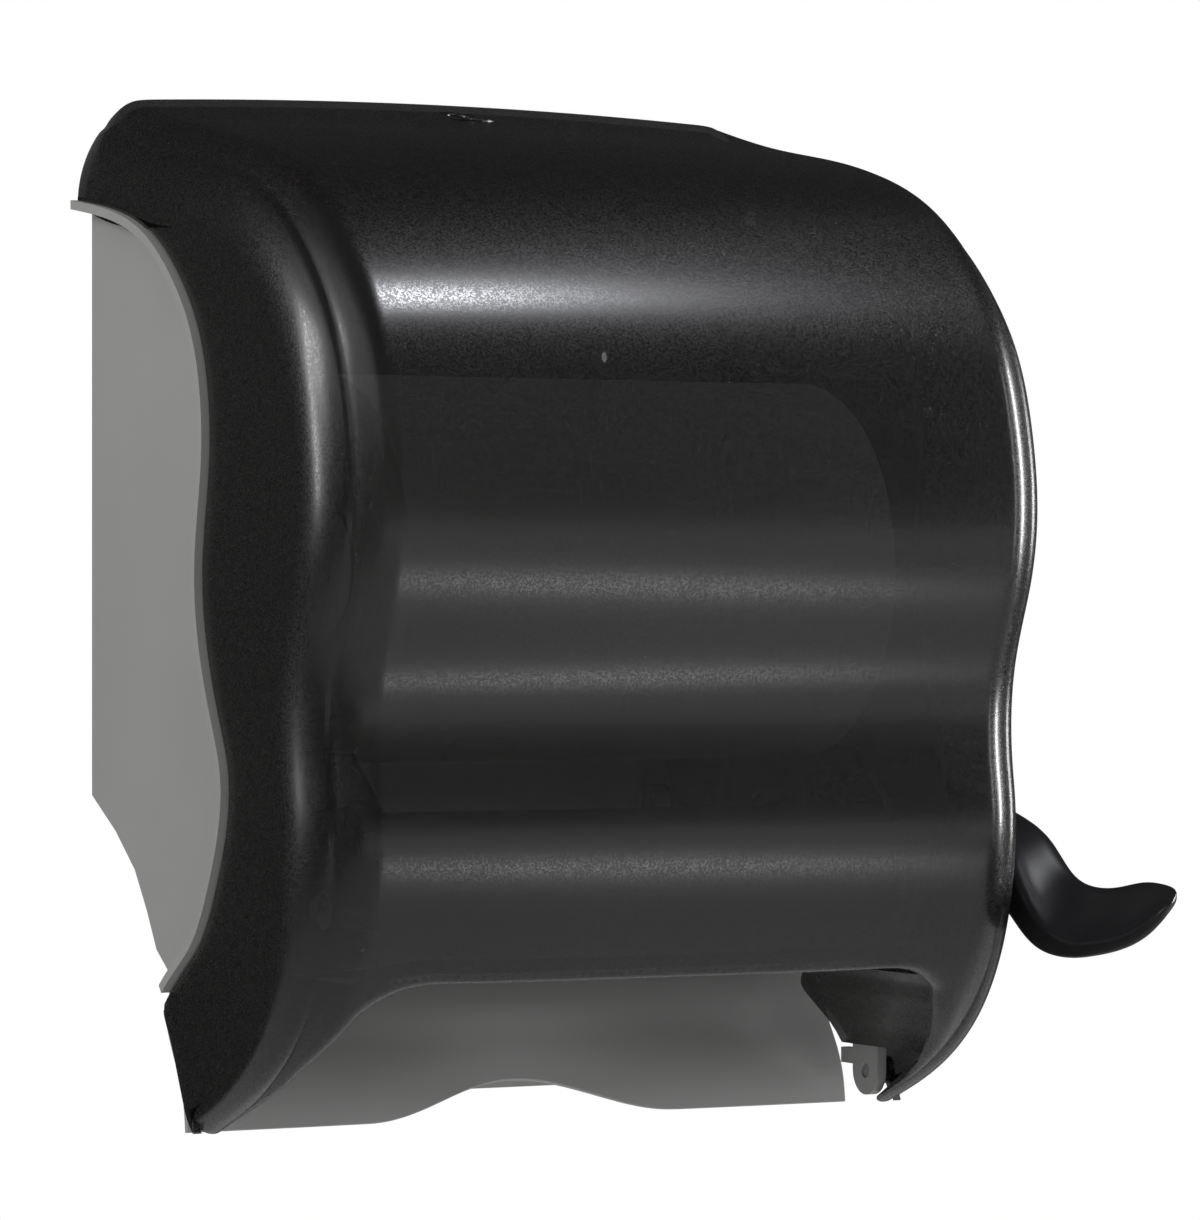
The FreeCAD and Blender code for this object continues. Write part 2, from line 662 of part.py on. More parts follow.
def opening_prism(grow):
    """The opening as a solid through the front of the cover."""
    front = opening_edges(grow)
    front.translate(Vector(0, -float(S.nose_depth) - 2 * float(S.cover_corner), 0))
    solid = front.extrude(Vector(0, float(S.nose_depth), 0))
    corners = [edge for edge in solid.Edges if edge.BoundBox.YLength > 1
               and abs(edge.BoundBox.ZMin - float(S.opening_top) - grow) < 0.001]
    return solid.makeFillet(float(S.opening_corner) + grow, corners)


def behind_cover():
    """All that lies behind the cover's rear edge: behind the rim and its gap, and behind the toes."""
    edge = side_curve(beside(rim_points, float(S.cover_gap)))
    low = [side_point(*point) for point in tail_points]
    far = Vector(0, 2 * float(S.cover_wall), 0)
    below = 2 * low[-1].z
    loop = [edge.EndPoint] + low + [Vector(0, low[-1].y, below), Vector(0, far.y, below),
                                    Vector(0, far.y, edge.StartPoint.z), edge.StartPoint]
    lines = [Part.makeLine(a, b) for a, b in zip(loop, loop[1:])]
    reach = 2 * float(S.cover_half_width)
    return side_prism([edge.toShape()] + lines, (-reach, reach))


def build_cover():
    wall = float(S.cover_wall)
    outer = cover_block("cover_outer", 0)
    inner = cover_block("cover_inner", wall)
    opening = opening_prism(0)
    reach = 2 * float(S.cover_half_width)
    shell = outer.cut(inner).cut(opening)
    ring = opening_prism(wall).cut(opening)
    side_band = Part.makeBox(2 * reach, 2 * reach, float(S.side_wall_top - S.side_wall_foot),
                             Vector(-reach, -2 * reach, float(S.side_wall_foot)))
    side_walls = ring.common(outer).common(side_band)
    core = side_curve(beside(cover_points, -float(S.return_depth)))
    core_edges = [core.toShape()] + rear_lines(core.StartPoint, core.EndPoint)
    ring = ring.common(outer).cut(side_prism(core_edges, (-reach, reach)))
    above = Part.makeBox(2 * reach, reach * 2, reach, Vector(-reach, -2 * reach, float(S.return_foot)))
    shell = shell.fuse(ring.common(above)).fuse(side_walls)
    lock = Vector(0, -float(S.lock_depth), float(S.lock_boss_foot))
    boss_height = float(S.roof_wall_height - S.lock_boss_foot)
    boss = Part.makeCylinder(float(S.lock_boss_radius), boss_height, lock).common(outer)
    shell = shell.fuse(boss)
    bore_height = float(S.barrel_top + S.fit_gap - S.lock_boss_foot)
    shell = shell.cut(Part.makeCylinder(float(S.barrel_radius + S.fit_gap), bore_height, lock))
    shell = shell.cut(Part.makeCylinder(float(S.keyhole_radius), 2 * boss_height, lock))
    for side in (-1, 1):
        hole = lock + Vector(side * float(S.lock_screw_offset), 0, 0)
        length = float(S.lock_screw_length - S.barrel_flange + S.fit_gap)
        shell = shell.cut(Part.makeCylinder(float(S.lock_screw_radius + S.fit_gap), length, hole))
    shell = shell.cut(behind_cover())
    rear = Part.makeBox(2 * reach, 2 * wall, 2 * reach, Vector(-reach, -float(S.seat_gap), -reach))
    shell = shell.cut(rear)
    for side in (-1, 1):
        away = Vector(side, 0, 0)
        start = Vector(side * float(S.hinge_boss_inner), -float(S.hinge_depth), float(S.hinge_height))
        length = float(S.cover_half_width - S.hinge_boss_inner)
        boss = Part.makeCylinder(float(S.hinge_boss_radius), length, start, away).common(outer)
        shell = shell.fuse(boss)
        depth_of_hole = float(S.hinge_pin_outer + S.fit_gap - S.hinge_boss_inner)
        shell = shell.cut(Part.makeCylinder(float(S.hinge_pin_radius + S.running_gap), depth_of_hole, start, away))
    return shell.removeSplitter()


cover = node(shape_object("cover", build_cover()))

# ---------------------------------------------------------------- lock

flange_foot = S.lock_boss_foot - S.barrel_flange
cam_top = flange_foot - S.barrel_flange
barrel_body = fuse(
    "lock_barrel_body",
    rod_z("lock_barrel_sleeve", 0, S.lock_depth, (flange_foot, S.barrel_top), S.barrel_radius),
    rod_z("lock_barrel_flange", 0, S.lock_depth, (flange_foot, S.lock_boss_foot), S.lock_boss_radius))
screw_holes = [rod_z("lock_screw_hole_" + side, sign * S.lock_screw_offset, S.lock_depth,
                     (flange_foot - PAST, S.lock_boss_foot + PAST), S.lock_screw_radius + S.fit_gap)
               for side, sign in (("left", -1), ("right", 1))]
node(cut("lock_barrel", barrel_body, rod_z("lock_barrel_bore", 0, S.lock_depth,
         (flange_foot - PAST, S.barrel_top + PAST), S.plug_radius + S.running_gap), *screw_holes))

plug = rod_z("lock_plug_body", 0, S.lock_depth, (cam_top, S.barrel_top - S.fit_gap), S.plug_radius)
slot = box("lock_plug_slot", (-S.plug_slot_width / 2, S.plug_slot_width / 2),
           (S.lock_depth - S.plug_slot_length / 2, S.lock_depth + S.plug_slot_length / 2),
           (S.barrel_top - S.plug_slot_deep, S.barrel_top + PAST))
node(cut("lock_plug", plug, slot))

cam_z = (cam_top - S.cam_thickness, cam_top)
node(fuse("lock_cam", rod_z("lock_cam_hub", 0, S.lock_depth, cam_z, S.cam_radius),
          box("lock_cam_tongue", (-S.cam_width / 2, S.cam_width / 2),
              (S.lock_depth - S.cam_reach, S.lock_depth), cam_z)))

lock_screws = []
for side, sign in (("left", -1), ("right", 1)):
    offset = sign * S.lock_screw_offset
    head = rod_z("lock_screw_head_" + side, offset, S.lock_depth,
                 (flange_foot - S.lock_screw_head, flange_foot), S.lock_screw_head)
    shank = rod_z("lock_screw_shank_" + side, offset, S.lock_depth,
                  (flange_foot, flange_foot + S.lock_screw_length), S.lock_screw_radius)
    lock_screws.append(fuse("lock_screw_" + side, head, shank))
node(group("lock_screws", *lock_screws))

# ---------------------------------------------------------------- chassis

plate_inner = S.chassis_half_width - S.chassis_wall
plate_x = (plate_inner, S.chassis_half_width)
bush_hole = S.bush_radius + S.fit_gap

wall_outline = [
    (-plate_inner, S.wall_foot), (-S.tongue_half_width, S.wall_foot), (-S.tongue_half_width, S.tongue_foot),
    (S.tongue_half_width, S.tongue_foot), (S.tongue_half_width, S.wall_foot), (plate_inner, S.wall_foot),
    (plate_inner, S.chassis_top), (-plate_inner, S.chassis_top),
]
back_wall = front_plate("chassis_back", (0, S.chassis_wall), wall_outline)
doc.recompute()
top_corners = ["Edge%d" % (number + 1) for number, edge in enumerate(back_wall.Shape.Edges)
               if edge.BoundBox.YLength > 1 and abs(edge.BoundBox.ZMin - float(S.chassis_top)) < 0.001]
square_wall = back_wall.Tip
corner_round = back_wall.newObject("PartDesign::Fillet", "chassis_back_corners")
corner_round.Base = (square_wall, top_corners)
bind(corner_round, Radius=S.chassis_corner)
back_wall.Tip = corner_round

rim_names = [row[0] for row in RIM_PROFILE]
front_of_rim = rim_points[rim_names.index("rim_slope"):rim_names.index("rim_heel")]
plate_outline = [rim_points[0]]
plate_outline += [(depth + S.rim_lap, height) for depth, height in front_of_rim]
plate_outline += [(S.hinge_depth + S.lug_radius, S.plate_foot), (S.hinge_depth - S.lug_radius, S.plate_foot)]
plate_outline += list(reversed(underside_points))

chassis_parts = [back_wall]
chassis_holes = []
for side, x in both_sides(plate_x):
    chassis_parts.append(side_plate("chassis_side_" + side, x, plate_outline))
for side, x in both_sides((S.chassis_half_width, S.chassis_half_width + S.rim_reach)):
    chassis_parts.append(shape_object("chassis_rim_" + side, strip(rim_points, S.rim_thickness, x)))
lug_x = (plate_inner - S.lug_width, plate_inner)
lug_depth = (S.hinge_depth - S.lug_radius, S.hinge_depth + S.lug_radius)
for side, x in both_sides(lug_x):
    chassis_parts.append(box("chassis_lug_arm_" + side, x, lug_depth, (S.hinge_height, S.lug_root)))
    chassis_parts.append(box("chassis_lug_heel_" + side, x, (S.hinge_depth - S.lug_heel_reach, S.hinge_depth),
                             (S.lug_heel_foot, S.lug_heel_top)))
    chassis_parts.append(rod_x("chassis_lug_" + side, x, S.hinge_depth, S.hinge_height, S.lug_radius))
for side, x in both_sides((lug_x[0] - PAST, plate_inner + PAST)):
    chassis_holes.append(rod_x("chassis_pin_hole_" + side, x, S.hinge_depth, S.hinge_height, S.hinge_pin_radius))
for column, across in (("left", -S.screw_spacing_x / 2), ("right", S.screw_spacing_x / 2)):
    for level, up in (("low", -S.screw_spacing_z / 2), ("high", S.screw_spacing_z / 2)):
        boss_depth = (S.chassis_wall, S.chassis_wall + S.wall_boss_height)
        place_name = level + "_" + column
        chassis_parts.append(rod_y("wall_boss_" + place_name, across, boss_depth, up, S.wall_boss_radius))
        chassis_holes.append(rod_y("wall_hole_" + place_name, across, (-PAST, S.chassis_wall + 2 * S.wall_boss_height),
                                   up, S.wall_hole_radius))

lip_near = S.lock_depth + S.cam_width / 2 + S.keeper_gap
keeper_top = cam_top - S.cam_thickness - S.keeper_drop
chassis_parts.append(box("keeper_shelf", (S.keeper_near, S.keeper_far), (0, lip_near + S.keeper_shelf),
                         (keeper_top - S.keeper_shelf, keeper_top)))
chassis_parts.append(box("keeper_lip", (S.keeper_near, S.keeper_far), (lip_near, lip_near + S.keeper_shelf),
                         (keeper_top - S.keeper_shelf, cam_top + S.keeper_shelf)))
chassis_parts.append(rod_x("plate_peg", (S.plate_peg_end, plate_inner), S.plate_peg_depth, S.plate_peg_height,
                           S.plate_peg_radius))
chassis_holes.append(rod_x("lever_bush_hole", (plate_inner - PAST, S.chassis_half_width + PAST), S.lever_depth,
                           S.lever_height, bush_hole))

# Screws that hold the frame pieces to the wall: where each stands, and the depth of its seat.
arm_x = S.arm_inner + S.arm_thickness / 2
arm_base_low = S.roll_height - S.arm_half_height - S.ear_thickness - S.base_end
arm_base_high = arm_base_low + 2 * S.base_end + 2 * S.ear_thickness + S.ear_spacing
bracket_seat = S.chassis_wall + S.foot_thickness
bracket_screw_x = S.bracket_inner - S.foot_width / 2
arm_seat = S.chassis_wall + S.base_thickness
FRAME_SCREWS = []
for sign in (-1, 1):
    FRAME_SCREWS += [(sign * bracket_screw_x, S.bracket_screw_high, bracket_seat),
                     (sign * bracket_screw_x, S.bracket_screw_low, bracket_seat),
                     (sign * S.chute_screw_x, S.chute_screw_height, S.chassis_wall + S.chute_wall),
                     (sign * arm_x, arm_base_low + S.base_end / 2, arm_seat),
                     (sign * arm_x, arm_base_high - S.base_end / 2, arm_seat)]


def screw_drills(owner):
    """Clearance holes for all frame screws, to be cut from one piece."""
    return [rod_y("%s_drill_%d" % (owner, number), x, (-PAST, seat + PAST), z, S.frame_screw_radius + S.fit_gap)
            for number, (x, z, seat) in enumerate(FRAME_SCREWS)]


chassis_holes += screw_drills("chassis")
chassis_holes.append(box("chassis_behind_wall", (-2 * S.chassis_half_width, 2 * S.chassis_half_width),
                         (-S.rim_lap, 0), (S.rim_wall_height - S.rim_lap, S.rim_wall_height + S.rim_lap)))
node(cut("chassis", fuse("chassis_body", *chassis_parts), *chassis_holes))

screws = []
for number, (x, z, seat) in enumerate(FRAME_SCREWS):
    shank = rod_y("frame_screw_shank_%d" % number, x, (S.seat_gap, seat), z, S.frame_screw_radius)
    head = rod_y("frame_screw_head_%d" % number, x, (seat, seat + S.frame_screw_head_height), z, S.frame_screw_head)
    screws.append(fuse("frame_screw_%d" % number, shank, head))
node(group("frame_screws", *screws))

node(group("cover_hinge_pins", *[
    rod_x("cover_hinge_pin_" + side, x, S.hinge_depth, S.hinge_height, S.hinge_pin_radius)
    for side, x in both_sides((S.hinge_pin_inner, S.hinge_pin_outer))]))

# ---------------------------------------------------------------- chute

chute_low = (chute_points[-1][0] + S.chute_lean, S.chute_foot)
main_panel = strip(chute_points + [chute_low], S.chute_wall, (-S.chute_half_width, S.chute_half_width))
web_start = (S.chassis_wall + S.chute_wall / 2, S.flange_top)
web_middle = ((web_start[0] + chute_points[0][0]) / 2, (S.flange_top + chute_points[0][1]) / 2)
web_profile = [web_start, web_middle, chute_points[0]]
web = strip(web_profile, S.chute_wall, (-S.web_half_width, S.web_half_width))
panel_object = shape_object("chute_panel", main_panel)
web_object = shape_object("chute_web", web)
chute_flange = box("chute_flange", (-S.web_half_width, S.web_half_width),
                   (S.chassis_wall, S.chassis_wall + S.chute_wall), (S.flange_foot, S.flange_top))
notch_radius = (S.notch_half_width * S.notch_half_width / S.notch_height + S.notch_height) / 2
notch = rod_y("chute_notch", 0, (0, 2 * S.lever_depth), S.chute_foot + S.notch_height - notch_radius, notch_radius)
node(cut("towel_chute", fuse("towel_chute_body", panel_object, web_object, chute_flange), notch,
         *screw_drills("chute")))

# ---------------------------------------------------------------- brackets and guide

bracket_x = (S.bracket_inner, S.bracket_inner + S.bracket_thickness)
bracket_outline = [
    (S.chassis_wall, S.bracket_top), (S.bracket_brow, S.bracket_top), (S.bracket_front, S.bracket_brow_height),
    (S.bracket_front, S.bracket_foot), (S.feed_depth, S.bracket_heel), (S.chassis_wall, S.bracket_heel),
]
yoke_pivot_height = S.feed_height + S.yoke_pivot_rise
pinch_depth = S.feed_depth + S.grip_radius + S.pinch_radius + S.seat_gap
tab_x = (bracket_x[1], bracket_x[1] + S.tab_thickness)
tab_low = (S.guide_foot + S.guide_thickness, S.guide_foot + S.guide_thickness + S.tab_height)
tab_high = (S.guide_top - S.tab_height, S.guide_top)
tab_depth = (S.bracket_front - S.tab_length, S.bracket_front)
tab_screw_depth = S.bracket_front - S.tab_length / 2
tab_screw_heights = (("low", S.guide_foot + S.guide_thickness + S.tab_height / 2),
                     ("high", S.guide_top - S.tab_height / 2))

for side, x in both_sides(bracket_x):
    holes = [(S.feed_depth, S.feed_height, bush_hole),
             (pinch_depth, yoke_pivot_height, S.yoke_pin_radius + S.fit_gap)]
    holes += [(tab_screw_depth, up, S.small_screw_radius + S.fit_gap) for _, up in tab_screw_heights]
    if side == "right":
        holes.append((S.lever_depth, S.lever_height, S.lever_shaft_radius + S.running_gap))
    plate = side_plate("bracket_plate_" + side, x, bracket_outline, holes)
    foot_x = (S.bracket_inner - S.foot_width, S.bracket_inner)
    if side == "left":
        foot_x = (-foot_x[1], -foot_x[0])
    foot = box("bracket_foot_" + side, foot_x, (S.chassis_wall, bracket_seat), (S.bracket_foot, S.foot_top))
    node(cut("bracket_" + side, fuse("bracket_body_" + side, plate, foot), *screw_drills("bracket_" + side)))

guide_depth = (S.bracket_front, S.bracket_front + S.guide_thickness)
guide_parts = [box("guide_panel", (-bracket_x[1], bracket_x[1]), guide_depth, (S.guide_foot, S.guide_top))]
curl_points = [(guide_depth[1], S.guide_top), (guide_depth[1] - S.curl_lean, S.guide_top + S.curl_low),
               (S.bracket_front - S.curl_lean, S.guide_top + S.curl_high),
               (S.bracket_front - S.guide_thickness, S.guide_top + S.curl_height)]
guide_parts.append(shape_object("guide_curl", strip(curl_points, -S.guide_thickness,
                                                    (-S.bracket_inner + S.curl_end, S.bracket_inner - S.curl_end))))
guide_holes = []
guide_screws = []
for side, x in both_sides(tab_x):
    for level, z in (("low", tab_low), ("high", tab_high)):
        guide_parts.append(box("guide_tab_%s_%s" % (level, side), x, tab_depth, z))
        guide_parts.append(box("guide_tab_root_%s_%s" % (level, side), x, guide_depth, z))
for side, x in both_sides((S.bracket_inner - PAST, tab_x[1])):
    sign = 1 if side == "right" else -1
    head_x = (tab_x[1], tab_x[1] + S.small_screw_head_height)
    if side == "left":
        head_x = (-head_x[1], -head_x[0])
    for level, up in tab_screw_heights:
        name = "guide_screw_%s_%s" % (level, side)
        guide_holes.append(rod_x(name + "_hole", x, tab_screw_depth, up, S.small_screw_radius + S.fit_gap))
        guide_screws.append(fuse(name, rod_x(name + "_shank", x, tab_screw_depth, up, S.small_screw_radius),
                                 rod_x(name + "_head", head_x, tab_screw_depth, up, S.small_screw_head)))

bar_depth = (S.bracket_front - S.tear_bar_thickness, S.bracket_front)
bar_screw_height = (S.tear_bar_top + S.tear_bar_root) / 2
bar_screws = []
bar_holes = []
for number in (-1, 0, 1):
    x = number * S.tear_screw_spacing
    name = "tear_bar_screw_%d" % (number + 1)
    deep = (bar_depth[0], S.bracket_front + S.guide_thickness - S.seat_gap)
    head = (bar_depth[0] - S.small_screw_head_height, bar_depth[0])
    bar_screws.append(fuse(name, rod_y(name + "_shank", x, deep, bar_screw_height, S.small_screw_radius),
                           rod_y(name + "_head", x, head, bar_screw_height, S.small_screw_head)))
    for owner, holes in (("guide", guide_holes), ("bar", bar_holes)):
        through = (bar_depth[0] - PAST, S.bracket_front + S.guide_thickness + PAST)
        holes.append(rod_y(name + "_%s_hole" % owner, x, through, bar_screw_height,
                           S.small_screw_radius + S.fit_gap))
node(cut("front_guide", fuse("front_guide_body", *guide_parts), *guide_holes))
node(group("guide_screws", *guide_screws))


def tear_strip():
    """The steel strip with its saw teeth along the lower edge."""
    half = float(S.tear_bar_half_width)
    pitch = float(S.tear_tooth_pitch)
    root, tip = float(S.tear_bar_root), float(S.tear_bar_root - S.tear_tooth_height)
    count = int(2 * half / pitch)
    start = -count * pitch / 2
    points = [Vector(half, 0, float(S.tear_bar_top)), Vector(-half, 0, float(S.tear_bar_top)), Vector(-half, 0, root)]
    if start > -half:
        points.append(Vector(start, 0, root))
    for number in range(count):
        left = start + number * pitch
        points += [Vector(left + pitch / 2, 0, tip), Vector(left + pitch, 0, root)]
    if start > -half:
        points.append(Vector(half, 0, root))
    face = Part.Face(Part.makePolygon(points + points[:1]))
    face.translate(Vector(0, -float(bar_depth[0]), 0))
    return face.extrude(Vector(0, -float(S.tear_bar_thickness), 0))


node(cut("tear_bar", shape_object("tear_bar_strip", tear_strip()), *bar_holes))
node(group("tear_bar_screws", *bar_screws))

# ---------------------------------------------------------------- feed roller

feed = (S.feed_depth, S.feed_height)
node(rod_x("feed_shaft", (-S.feed_shaft_left, S.feed_shaft_right), feed[0], feed[1], S.feed_shaft_radius))
drum_x = (-S.drum_half_width, S.drum_half_width)
node(cut("feed_drum", rod_x("feed_drum_body", drum_x, feed[0], feed[1], S.drum_radius),
         rod_x("feed_drum_bore", (drum_x[0] - PAST, drum_x[1] + PAST), feed[0], feed[1], S.feed_shaft_radius + S.fit_gap)))
grips = []
for number in (-1, 0, 1):
    middle = number * S.grip_spacing
    x = (middle - S.grip_width / 2, middle + S.grip_width / 2)
    name = "feed_grip_%d" % (number + 1)
    grips.append(cut(name, rod_x(name + "_ring", x, feed[0], feed[1], S.grip_radius),
                     rod_x(name + "_bore", x, feed[0], feed[1], S.drum_radius + S.fit_gap)))
node(group("feed_grips", *grips))


def bush(name, flange_x, sleeve_x, depth, height, bore):
    """A flanged bush on an axis along X."""
    low = flange_x[0] if float(flange_x[0]) < float(sleeve_x[0]) else sleeve_x[0]
    high = flange_x[1] if float(flange_x[1]) > float(sleeve_x[1]) else sleeve_x[1]
    body = fuse(name + "_body", rod_x(name + "_flange", flange_x, depth, height, S.bush_flange_radius),
                rod_x(name + "_sleeve", sleeve_x, depth, height, S.bush_radius))
    return node(cut(name, body, rod_x(name + "_bore", (low - PAST, high + PAST), depth, height, bore)))


for side, flange_x in both_sides((S.bracket_inner - S.bush_flange, S.bracket_inner)):
    sleeve_x = bracket_x if side == "right" else (-bracket_x[1], -bracket_x[0])
    bush("feed_bush_" + side, flange_x, sleeve_x, feed[0], feed[1], S.feed_shaft_radius + S.running_gap)

pinion_x = (S.gear_left, S.gear_left + S.gear_width)
clips = []
for name, x in (("left", (-bracket_x[1] - S.seat_gap - S.clip_thickness, -bracket_x[1] - S.seat_gap)),
                ("middle", (pinion_x[0] - S.seat_gap - S.clip_thickness, pinion_x[0] - S.seat_gap)),
                ("right", (pinion_x[1] + S.seat_gap, pinion_x[1] + S.seat_gap + S.clip_thickness))):
    clips.append(cut("shaft_clip_" + name, rod_x("shaft_clip_ring_" + name, x, feed[0], feed[1], S.clip_radius),
                     rod_x("shaft_clip_bore_" + name, x, feed[0], feed[1], S.feed_shaft_radius + S.fit_gap)))
node(group("shaft_clips", *clips))

# ---------------------------------------------------------------- gears

centre_depth = float(S.feed_depth - S.lever_depth)
centre_height = float(S.feed_height - S.lever_height)
centre_distance = math.hypot(centre_depth, centre_height)
contact_angle = math.degrees(math.atan2(centre_height, centre_depth))
pinion_pitch_radius = float(S.gear_module * S.pinion_teeth) / 2
sector_pitch_radius = centre_distance - pinion_pitch_radius
PRESSURE_ANGLE = math.radians(20)
FLANK_POINTS = 5


def on_circle(radius, angle):
    """A point in the side plane, from a radius and an angle above the forward direction, in degrees."""
    turn = math.radians(angle)
    return Vector(0, -radius * math.cos(turn), radius * math.sin(turn))


def flank_points(pitch_radius, side, middle):
    """One involute flank of a tooth, from its root to its tip, on one side of the tooth's middle angle."""
    base = pitch_radius * math.cos(PRESSURE_ANGLE)
    root = pitch_radius - 1.25 * float(S.gear_module)
    tip = pitch_radius + float(S.gear_module)
    involute_at_pitch = math.tan(PRESSURE_ANGLE) - PRESSURE_ANGLE
    half = math.degrees((math.pi * float(S.gear_module) / 2 - float(S.backlash) / 2) / 2 / pitch_radius)
    start = max(root, base * 1.0005)
    points = []
    for step in range(FLANK_POINTS):
        radius = start + (tip - start) * step / (FLANK_POINTS - 1)
        pressure = math.acos(base / radius)
        gain = math.degrees(involute_at_pitch - (math.tan(pressure) - pressure))
        points.append(on_circle(radius, middle + side * (half + gain)))
    if root < start - 0.01:
        angle = middle + side * (half + math.degrees(involute_at_pitch))
        points.insert(0, on_circle(root, angle))
    return points


def gear_outline(pitch_radius, middles):
    """The edges of a row of teeth, and its first and last points."""
    edges = []
    last = None
    for middle in middles:
        rising = flank_points(pitch_radius, -1, middle)
        falling = flank_points(pitch_radius, 1, middle)[::-1]
        if last is not None:
            edges.append(Part.makeLine(last, rising[0]))
        edges += [Part.makeLine(a, b) for a, b in zip(rising, rising[1:])]
        edges.append(Part.makeLine(rising[-1], falling[0]))
        edges += [Part.makeLine(a, b) for a, b in zip(falling, falling[1:])]
        last = falling[-1]
    return edges, edges[0].Vertexes[0].Point, last


def drive_pinion():
    """The pinion, with a tooth space turned towards the lever shaft."""
    count = int(float(S.pinion_teeth))
    pitch = 360.0 / count
    middles = [contact_angle + 180 + (number + 0.5) * pitch for number in range(count)]
    edges, first, last = gear_outline(pinion_pitch_radius, middles)
    wheel = Part.Face(Part.Wire(edges + [Part.makeLine(last, first)])).extrude(Vector(float(S.gear_width), 0, 0))
    bore = Part.makeCylinder(float(S.clutch_radius + S.fit_gap), float(S.gear_width), Vector(), Vector(1, 0, 0))
    return wheel.cut(bore)


gear_side = Vector(float(S.gear_left), 0, 0)
node(shape_object("drive_pinion", drive_pinion(), side_point(*feed) + gear_side))
node(cut("one_way_clutch", rod_x("one_way_clutch_body", pinion_x, feed[0], feed[1], S.clutch_radius),
         rod_x("one_way_clutch_bore", pinion_x, feed[0], feed[1], S.feed_shaft_radius + S.fit_gap)))

pivot = (S.lever_depth, S.lever_height)
sector_pitch = math.degrees(float(S.gear_module) * math.pi / sector_pitch_radius)
sector_count = int(float(S.sector_teeth))
sector_middles = [contact_angle + (number - 1) * sector_pitch for number in range(sector_count)]
sector_low = sector_middles[0] - sector_pitch / 2
sector_high = sector_middles[-1] + sector_pitch / 2


def drive_sector():
    """A fan of gear teeth round the lever shaft, with its hub, and a peg for the return spring."""
    root = sector_pitch_radius - 1.25 * float(S.gear_module)
    edges, first, last = gear_outline(sector_pitch_radius, sector_middles)
    low, high = on_circle(root, sector_low), on_circle(root, sector_high)
    edges = [Part.makeLine(Vector(), low), Part.makeLine(low, first)] + edges
    edges += [Part.makeLine(last, high), Part.makeLine(high, Vector())]
    fan = Part.Face(Part.Wire(edges)).extrude(Vector(float(S.gear_width), 0, 0))
    hub_side = float(S.hub_side)
    hub = Part.makeCylinder(float(S.hub_radius), float(S.gear_width) + 2 * hub_side, Vector(-hub_side, 0, 0),
                            Vector(1, 0, 0))
    peg_start = on_circle(float(S.sector_peg_reach), float(S.sector_peg_angle))
    peg_length = float(S.sector_peg_end - S.gear_left)
    peg = Part.makeCylinder(float(S.sector_peg_radius), peg_length, peg_start, Vector(1, 0, 0))
    bore = Part.makeCylinder(float(S.lever_shaft_radius + S.fit_gap), 4 * float(S.gear_width),
                             Vector(-float(S.gear_width), 0, 0), Vector(1, 0, 0))
    return fan.fuse(hub).fuse(peg).cut(bore).removeSplitter()


node(shape_object("drive_sector", drive_sector(), side_point(*pivot) + gear_side))

# ---------------------------------------------------------------- lever

screw_x = (S.lever_hub_outer - S.lever_screw_length, S.lever_hub_outer)
shaft_end = S.lever_hub_outer - S.lever_end_wall
shaft_x = (S.bracket_inner + S.fit_gap, shaft_end)
node(cut("lever_shaft", rod_x("lever_shaft_body", shaft_x, pivot[0], pivot[1], S.lever_shaft_radius),
         rod_x("lever_shaft_thread", (screw_x[0] - PAST, shaft_end + PAST), pivot[0], pivot[1],
               S.lever_screw_radius + S.fit_gap)))
node(fuse("lever_screw", rod_x("lever_screw_shank", screw_x, pivot[0], pivot[1], S.lever_screw_radius),
          rod_x("lever_screw_head_disc", (S.lever_hub_outer, S.lever_hub_outer + S.lever_screw_head_height),
                pivot[0], pivot[1], S.lever_screw_head)))
bush_flange_x = (S.chassis_half_width, S.chassis_half_width + S.bush_flange)
bush("lever_bush", bush_flange_x, plate_x, pivot[0], pivot[1], S.lever_shaft_radius + S.running_gap)
neck_inner = bush_flange_x[1] + S.seat_gap


def lever_section(name):
    """One closed section of the lever: a rounded four-sided loop whose upper edge is a little hollow."""
    low_near, low_far, top_near, top_far, near, far, depth = [
        float(getattr(S, "lever_%s_%s" % (name, field)))
        for field in ("low_near", "low_far", "top_near", "top_far", "near", "far", "depth")]
    width = far - near
    sag = TOP_HOLLOW * abs(top_far - top_near)

    def top(share):
        return top_near + (top_far - top_near) * share

    def low(share):
        return low_near + (low_far - low_near) * share

    def side(share, up):
        return low(share) + up * (top(share) - low(share))

    first, middle, last = CORNER_WIDTH, 0.5, 1 - CORNER_WIDTH
    loop = [(near + first * width, low(first)), (near, side(0, CORNER_HEIGHT)), (near, side(0, 1 - CORNER_HEIGHT)),
            (near + first * width, top(first)), (near + middle * width, top(middle) - sag),
            (near + last * width, top(last)), (far, side(1, 1 - CORNER_HEIGHT)), (far, side(1, CORNER_HEIGHT)),
            (near + last * width, low(last)), (near + middle * width, low(middle))]
    curve = Part.BSplineCurve()
    curve.interpolate(Points=[Vector(x, -depth, z) for x, z in loop], PeriodicFlag=True)
    return Part.Wire(curve.toShape())


